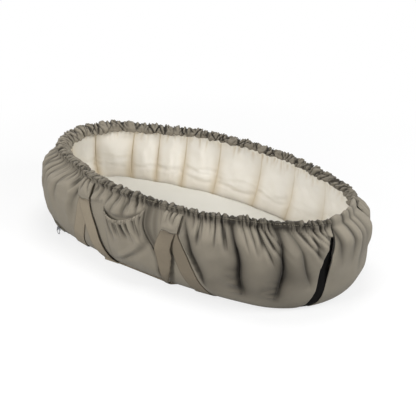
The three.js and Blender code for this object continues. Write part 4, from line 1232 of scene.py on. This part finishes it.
def add_floor_pad():
    """The liner's wadded floor, sewn in slanting lines that cross."""
    mesh = oval_pad("liner_floor_quilt", MATTRESS_OVAL, FLOOR_PAD_LEVELS, 0.002, 0.006)
    points = points_of(mesh)
    x, y, z = points.T
    lines = np.abs(np.sin(np.pi * np.stack([x + y, x - y]) / QUILT_PITCH)).min(axis=0)
    points[:, 2] -= np.where(z > 0.009, 0.0020 * (1 - smooth(lines, 0.0, 0.25)), 0)
    set_points(mesh, points)
    pad = add_piece("liner_floor_quilt", mesh, FLOOR_COTTON, "nest", "liner_cloth",
                    "liner_floor_pad")


def add_mattress():
    """Mattress: a foam core in a fitted sheet that is a little fuller than it."""
    core = oval_pad("mattress_foam", MATTRESS_OVAL.inset(0.006), FOAM_LEVELS, 0.004, 0.009)
    foam = add_piece("mattress_foam", core, FOAM, "mattress", "foam", "mattress_core")

    mesh = oval_pad("mattress_sheet", MATTRESS_OVAL.inset(0.0012), SHEET_LEVELS, 0.012, 0.006,
                    dome=0.0012)
    cover = add_piece("mattress_sheet", mesh, JERSEY, "mattress", "fitted_sheet",
                      "mattress_cover")
    held = 1 - smooth(points_of(mesh)[:, 2], 0.016, 0.040)
    fill_with_air([(cover, held)], pressure=2.0, cap=0.0026)
    points = points_of(mesh)
    x, y, z = points.T
    across, along = x / MATTRESS_OVAL.a, y / MATTRESS_OVAL.b
    reach = np.hypot(across, along)
    swells = Undulation(61, 10, 0.16, 0.0015).at(x, y)
    pulls = Gathers(63, run_of(0), run_of(360), pitch=0.034, length=(0.02, 0.08),
                    depth=(0.0006, 0.0016), width=(0.004, 0.008), slant=0.2)
    tucks = pulls.depth_at(run_of(np.degrees(np.arctan2(along, across)) % 360),
                           np.maximum(1 - reach, 0) * 0.2)
    points[:, 2] += np.where(z > 0.045, swells - tucks * smooth(reach, 0.6, 0.95), 0)
    set_points(mesh, points)
    subdivide(cover)


# Webbing

# Strands across a ribbon, and the one along which its length is measured
STRANDS = 17
MEASURED_STRAND = 4
ACROSS = np.linspace(-0.5, 0.5, STRANDS)
WALL_STEPS = [0.009, 0.017, 0.030, 0.045, 0.060, 0.075, 0.090, 0.107, 0.124]
RIBBON_FACES = 18
STRAP_BODY = 0.0018
UNDER_BASE = 0.0012
TURN_LEVEL = 0.0016


def sampled(net, u, v):
    """Point of a net of stations at u across and v along, smooth along the stations."""
    rows, columns = net.shape[:2]
    place = np.clip(v * (rows - 1), 0, rows - 1 - 1e-9)
    across = np.clip(u * (columns - 1), 0, columns - 1 - 1e-9)
    row, column = place.astype(int), across.astype(int)
    share = (across - column)[:, None]

    def station(index):
        index = np.clip(index, 0, rows - 1)
        return net[index, column] * (1 - share) + net[index, column + 1] * share
    return join_smoothly(*(station(row + step) for step in (-1, 0, 1, 2)), (place - row)[:, None])


def wall_station(side, x, z, out):
    """Points across a ribbon where it lies on the wall."""
    return wall_place(side, x + ACROSS * WEBBING_WIDTH, np.full(STRANDS, z), out)


def flat_station(side, x, y, z):
    """Points across a ribbon where it runs under the base, towards the other side."""
    return np.stack([x + ACROSS * WEBBING_WIDTH, np.full(STRANDS, side * y),
                     np.full(STRANDS, z)], axis=-1)


def ribbon(name, stations, steps, shaded_from=2.0):
    net = np.array(stations)
    length = float(np.linalg.norm(np.diff(net[:, MEASURED_STRAND], axis=0), axis=1).sum())
    ease = Undulation(len(name) + len(stations), 5, 0.05, 0.0005)

    def place(u, v):
        points = sampled(net, u, v)
        points[:, 1] -= ease.at(v * length, u * WEBBING_WIDTH) * np.sign(points[:, 1])
        # darker selvedges, and painted shade over the strap from shaded_from on
        selvedge = 0.35 * smooth(np.abs(2 * u - 1), 0.90, 0.98)
        return points, selvedge + 0.36 * (v > shaded_from)
    return cloth_mesh(name, RIBBON_FACES, steps, place, WEBBING_WIDTH, length), length


def add_load_strap(name, anchor, floor, node):
    """Load strap: down the near wall, under the base and up the far wall."""
    out = RIBBON_GAP + WEBBING_CLOTH / 2
    corner = float(FLOOR_OVAL.inset(0.002).half_width(abs(floor) - WEBBING_WIDTH / 2)) + 0.002

    def leg(side):
        return [wall_station(side, float(strap_x(anchor, floor, z)), z, out)
                for z in [*WALL_STEPS, ANCHOR_HEIGHT, ANCHOR_HEIGHT + ANCHOR_LAP]]
    under = [flat_station(side, floor, corner * share, UNDER_BASE)
             for side, share in ((-1, 1), (-1, 0.93), (-1, 0.4), (1, 0.4), (1, 0.93), (1, 1))]
    # the foot strap is painted in shade along its whole length
    mesh, length = ribbon(name, leg(-1)[::-1] + under + leg(1), 220,
                          shaded_from=-1.0 if anchor > 0 else 2.0)
    strap = add_piece(name, mesh, WEBBING, "nest", "webbing", node)
    thicken(strap, STRAP_BODY, 0)


def add_handle(name, side, node):
    """Carry handle: from anchor to anchor, its middle run tucked flat under the base's edge."""
    top = ANCHOR_HEIGHT - 0.0035
    out = RIBBON_GAP + LAYER_STEP + WEBBING_CLOTH / 2
    half = WEBBING_WIDTH / 2
    corner = HANDLE_RUN_Y + half + WEBBING_CLOTH

    def folded(row, z):
        """A station of the hanging leg, whose foot end is folded back behind its head end."""
        shown = WEBBING_WIDTH * min(1, z / 0.094 + 0.02)
        reach = (ACROSS + 0.5)[:, None] * WEBBING_WIDTH
        back = np.maximum(reach - shown, 0) * min(1, 0.9 * shown / max(WEBBING_WIDTH - shown, 1e-6))
        swing = float(smooth(z, 0, 0.05)) * (1 - float(smooth(z, 0.105, 0.138)))
        start = row[0] + np.array([-0.004 * swing, side * 0.0115 * swing, 0])
        start[0] += (FOOT_HANDLE_X - half - start[0]) * (1 - float(smooth(z, 0, 0.07)))
        start[0] += 0.0145 * float(bell(z - 0.048, 0.034)) - 0.0075 * float(bell(z - 0.125, 0.030))
        way = row[-1] + np.array([0, side * 0.0025 * swing, 0]) - start
        way /= np.linalg.norm(way)
        strands = start + (np.minimum(reach, shown) - back) * way
        strands[:, 1] -= side * np.where(back[:, 0] > 1e-5, 0.0022, 0)
        return strands

    def leg(anchor, floor, hangs):
        rows = []
        for z in [*WALL_STEPS, 0.136, top]:
            x = floor + (anchor - floor) * z / ANCHOR_HEIGHT
            lift = out + 0.0025 * math.sin(math.pi * z / top)
            row = wall_station(side, x, z, lift)
            rows.append(folded(row, z) if hangs else row)
        return rows

    def miter(x, lean):
        across = ACROSS * 2
        return np.stack([x + across * half, side * (HANDLE_RUN_Y + across * lean * half),
                         np.full(STRANDS, UNDER_BASE)], axis=-1)
    head = leg(HEAD_ANCHOR_X, HEAD_HANDLE_X, False)
    foot = [row[::-1] for row in leg(FOOT_ANCHOR_X, FOOT_HANDLE_X, side < 0)]
    rows = head[::-1] + [flat_station(side, HEAD_HANDLE_X, corner, TURN_LEVEL),
                         miter(HEAD_HANDLE_X, 1), miter(FOOT_HANDLE_X, -1)[::-1]]
    if side > 0:
        rows.append(flat_station(side, FOOT_HANDLE_X, corner, TURN_LEVEL)[::-1])
    else:
        tip = np.array([FOOT_HANDLE_X - half, side * (HANDLE_RUN_Y + half + 0.003), 0.0018])
        rows.append((tip + (ACROSS + 0.5)[:, None] * np.array([0.006, 0.014, 0]))[::-1])
    rows += foot
    # the near handle's hanging foot leg is painted in shade
    mesh, length = ribbon(name, rows, 260, shaded_from=0.56 if side < 0 else 2.0)
    strap = add_piece(name, mesh, WEBBING, node, "webbing", node)
    thicken(strap, STRAP_BODY, 0)


TAB_TOP = 0.1822


def add_tab(name, side, anchor, node):
    """Cloth tab sewn over the webbing ends, puffed and gathered up to the rim."""
    base = RIBBON_GAP + 2 * LAYER_STEP + 0.0014
    seed = 80 + int(anchor > 0) + 2 * int(side > 0)
    gathers = Gathers(seed, -0.016, 0.016, pitch=0.0085, length=(0.022, 0.034),
                      depth=(0.0040, 0.0066), width=(0.0018, 0.0030), slant=0.22)
    swell = Undulation(seed, 6, 0.026, 0.0010)

    def place(u, v):
        z = ANCHOR_HEIGHT + (TAB_TOP - ANCHOR_HEIGHT) * v
        along = (u - 0.5) * TAB_WIDTH * (1 + 0.06 * np.sin(math.pi * v))
        creases = gathers.depth_at(along, TAB_TOP - z)
        full = rounded_ends(u, 4)
        puff = (0.0068 * np.sin(math.pi * (0.10 + 0.82 * v)) * full + swell.at(along, z)
                - 0.0028 * smooth(v, 0.85, 1))
        out = np.maximum(base + puff * smooth(v, -0.05, 0.25) - creases * full,
                         base - 0.0004 - 0.0030 * smooth(v, 0.7, 1))
        hem = 0.0012 * np.sin(along / 0.006 + anchor * 40) * (1 - v)
        points = wall_place(side, anchor + along, z + hem, out)
        # painted shade in the gathers' creases, and a painted shadow line along the tab's lower hem
        return points, crease_shade_share(creases, 0.0052) * full + 0.7 * (v < 0.03)
    sew(name, TWILL, "cover_cloth", node, (56, 48), place, (TAB_WIDTH, 0.04), 0.0010, 0)


def add_webbing():
    add_load_strap("head_load_webbing", HEAD_ANCHOR_X, HEAD_LOAD_X, "load_strap_head")
    add_load_strap("foot_load_webbing", FOOT_ANCHOR_X, FOOT_LOAD_X, "load_strap_foot")
    for word, side in (("near", -1), ("far", 1)):
        add_handle(f"{word}_handle_webbing", side, f"{word}_handle")
        add_tab(f"{word}_head_tab_cloth", side, HEAD_ANCHOR_X, f"{word}_head_tab")
        add_tab(f"{word}_foot_tab_cloth", side, FOOT_ANCHOR_X, f"{word}_foot_tab")


# Pocket

def arch(share, power):
    """0 at both ends and 1 in the middle; a small power makes its ends steep."""
    return np.sin(np.pi * np.clip(share, 0, 1)) ** power


def mouth_height(along):
    return POCKET_CORNER + POCKET_RISE * along - POCKET_DIP * arch(along, 0.4)


def pocket_place(along, z, out):
    head, foot = pocket_sides(z)
    share = np.maximum((z - POCKET_FOOT) / (mouth_height(along) - POCKET_FOOT), 0)
    stand = POCKET_DEPTH * arch(along, 0.7) * np.minimum(share, 1) ** 1.3
    return wall_place(-1, head + (foot - head) * along, z, RIBBON_GAP + stand + out)


def add_pocket():
    """Pocket panel with a gathered, bound mouth, and the elastic that draws the mouth in."""
    gathers = Gathers(71, 0.002, MOUTH_RUN, pitch=0.0088, length=(0.030, 0.066),
                      depth=(0.0055, 0.0090), width=(0.0023, 0.0036), slant=0.06)
    swells = Undulation(73, 8, 0.06, 0.0018)

    def panel(u, v):
        mouth = mouth_height(u)
        z = POCKET_FOOT + (mouth - 0.001 - POCKET_FOOT) * v
        run, drop = u * MOUTH_RUN, mouth - z
        inside = arch(u, 0.35)
        creases = gathers.depth_at(run, drop) * inside * smooth(u, 0, 0.08)
        slope = (z - 0.070) - 0.85 * (run - 0.060)
        diagonal = (bell(slope, 0.009) - 0.6 * bell(slope + 0.014, 0.008)) * smooth(v, 0.1, 0.4)
        out = 0.0016 + (swells.at(run, z) * smooth(v, 0.05, 0.3) + 0.0072 * diagonal) * inside
        out = np.maximum(out - creases + 0.0062 * inside * smooth(v, 0.1, 0.75), 0.0004)
        # painted shade along the pocket's two sides and in its creases
        edge = 0.35 * smooth(u, 0.93, 0.99) + 0.35 * (1 - smooth(u, 0.01, 0.06))
        return pocket_place(u, z, out), crease_shade_share(creases, 0.0058) + edge
    sew("pocket_cloth", TWILL, "cover_cloth", "pocket_panel", (220, 100), panel, (0.13, 0.15),
        0.001)

    ruffle = Gathers(79, 0.0, MOUTH_RUN, pitch=0.0046, length=(0.05, 0.06),
                     depth=(0.0010, 0.0024), width=(0.0009, 0.0014), slant=0.10)

    def binding(u, v):
        turn = 2 * math.pi * v
        crease = ruffle.depth_at(u * MOUTH_RUN, np.zeros_like(v))
        ends = rounded_ends(u, 60)
        thick = np.maximum(0.0024 - crease, 0.0006) * ends
        z = mouth_height(u) - 0.0010 + (0.0040 - 0.5 * crease) * np.sin(turn) * ends
        lean = 0.0012 * np.sin(u * 150) * np.sin(turn) * ends + 0.0040 * arch(u, 0.5)
        points = pocket_place(u, z, 0.0012 + lean + thick * np.cos(turn))
        # painted shade in the ruffle's creases
        return points, crease_shade_share(crease, 0.0024)
    sew("pocket_binding_cloth", TWILL, "cover_cloth", "pocket_binding", (240, 16), binding,
        (0.13, 0.02), ring=True)

    def cord(u, v):
        turn = 2 * math.pi * v
        radius = 0.0009 * rounded_ends(u, 40)
        z = mouth_height(u) + radius * np.sin(turn)
        return pocket_place(u, z, 0.0016 + radius * np.cos(turn)), 0
    sew("pocket_elastic_cord", ELASTIC, "elastic", "pocket_elastic", (60, 8), cord,
        (0.13, 0.006), ring=True)


# Zip

ZIP_CENTRE_X = BULGE_OVAL.r - BULGE_OVAL.a
ZIP_HEIGHT = 0.017
ZIP_HALF_ANGLE = 78
TAPE_WIDTH = 0.022
TOOTH_PITCH = 0.0019
TOOTH = (0.0020, 0.0011, 0.0036)
TOOTH_STAGGER = 0.0007


def zip_point(radius, angle, z):
    turn = np.radians(angle)
    return np.stack(np.broadcast_arrays(ZIP_CENTRE_X + radius * np.cos(turn),
                                        radius * np.sin(turn), z), axis=-1)


def add_zip():
    """Zip round the head end: its tape, and the coil's interlocked teeth."""
    def tape(u, v):
        z = ZIP_HEIGHT + (v - 0.5) * TAPE_WIDTH
        radius = valley(z).r + 0.0011 + 0.0002 * np.sin(u * 90)
        return zip_point(radius, 180 + ZIP_HALF_ANGLE * (2 * u - 1), z), 0
    sew("zip_tape_cloth", ZIP_TAPE, "zip_tape", "zip_tape", (160, 8), tape, (0.54, TAPE_WIDTH),
        0.0008)

    radius = float(valley(np.array(ZIP_HEIGHT)).r) + 0.0022
    count = int(math.radians(2 * ZIP_HALF_ANGLE) * radius / TOOTH_PITCH)
    teeth = []
    for number in range(count):
        angle = 180 + ZIP_HALF_ANGLE * (2 * (number + 0.5) / count - 1)
        z = ZIP_HEIGHT + (TOOTH_STAGGER if number % 2 else -TOOTH_STAGGER)
        teeth.append((zip_point(radius, angle, z), Matrix.Rotation(math.radians(angle), 3, "Z")))
    add_blocks("zip_coil_teeth", NYLON, "zip_coil", TOOTH, teeth, "zip_coil")


# What stays as it is: the stiff base, the zip slider and the ring pull

def dress_working_parts():
    for name, finish in (("base_panel", BASE), ("zip_slider", METAL), ("zip_pull_ring", METAL)):
        mesh = nodes[name].data
        mesh.materials.clear()
        mesh.materials.append(finish)


# Floor and light

def white_stage():
    """A white floor that keeps the nest's shadow, and soft light from all round."""
    bm = bmesh.new()
    bmesh.ops.create_grid(bm, x_segments=1, y_segments=1, size=6)
    floor = bpy.data.objects.new("floor", new_mesh(bm, "floor"))
    bpy.context.scene.collection.objects.link(floor)
    paper = Finish("floor_paper", 1.0, specular=0.0, mapped=False)
    seen = paper.seen_by_camera()
    paper.dress(paper.blend(seen, (0.38, 0.38, 0.38, 1), (0.96, 0.96, 0.96, 1)))
    reach = paper.node("ShaderNodeVectorMath", {"operation": "LENGTH"}, paper.place,
                       output="Value")
    away = paper.node("ShaderNodeMapRange", {"interpolation_type": "SMOOTHSTEP"}, reach,
                      0.55, 1.15, 0.72, 1.0)
    glow = paper.node("ShaderNodeEmission", {}, (1, 1, 1, 1), 1.0)
    mix = paper.node("ShaderNodeMixShader", {}, seen * away,
                     Wire(paper, paper.surface.outputs[0]), glow)
    paper.put(mix, paper.tree.nodes["Material Output"].inputs["Surface"])
    floor.data.materials.append(paper.material)

    world = bpy.data.worlds.new("studio")
    bpy.context.scene.world = world
    sky = Board(world)
    sky.tree.nodes.remove(sky.tree.nodes["Background"])
    ambient = sky.node("ShaderNodeBackground", {}, (0.96, 0.98, 1.0, 1), 0.36)
    white = sky.node("ShaderNodeBackground", {}, (1, 1, 1, 1), 1.0)
    seen = sky.seen_by_camera()
    shone = Wire(sky, seen.socket.node.outputs["Is Glossy Ray"])
    mix = sky.node("ShaderNodeMixShader", {}, seen.worked("MAXIMUM", shone), ambient, white)
    sky.put(mix, sky.tree.nodes["World Output"].inputs["Surface"])


def add_lamp(name, place, aim, size, power, colour):
    data = bpy.data.lights.new(name, "AREA")
    data.shape, data.size, data.energy, data.color = "DISK", size, power, colour
    lamp = bpy.data.objects.new(name, data)
    bpy.context.scene.collection.objects.link(lamp)
    lamp.location = place
    lamp.rotation_mode = "QUATERNION"
    lamp.rotation_quaternion = (Vector(aim) - Vector(place)).to_track_quat("-Z", "Y")


white_stage()
add_lamp("top", (-0.1, 0.4, 2.4), (0, 0, 0.05), 1.3, 24, (1.0, 0.99, 0.97))
add_lamp("left", (-0.20, -1.52, 0.85), (0, 0, 0.1), 0.7, 15, (1.0, 0.99, 0.98))
add_lamp("right", (2.0, 0.2, 1.3), (0.2, 0, 0.1), 0.9, 27, (0.99, 0.995, 1.0))
bpy.context.scene.view_settings.view_transform = "Standard"

add_liner()
add_floor_pad()
add_mattress()
add_cover()
add_rim()
add_foot_wrap()
add_foot_lining()
add_webbing()
add_pocket()
add_zip()
dress_working_parts()
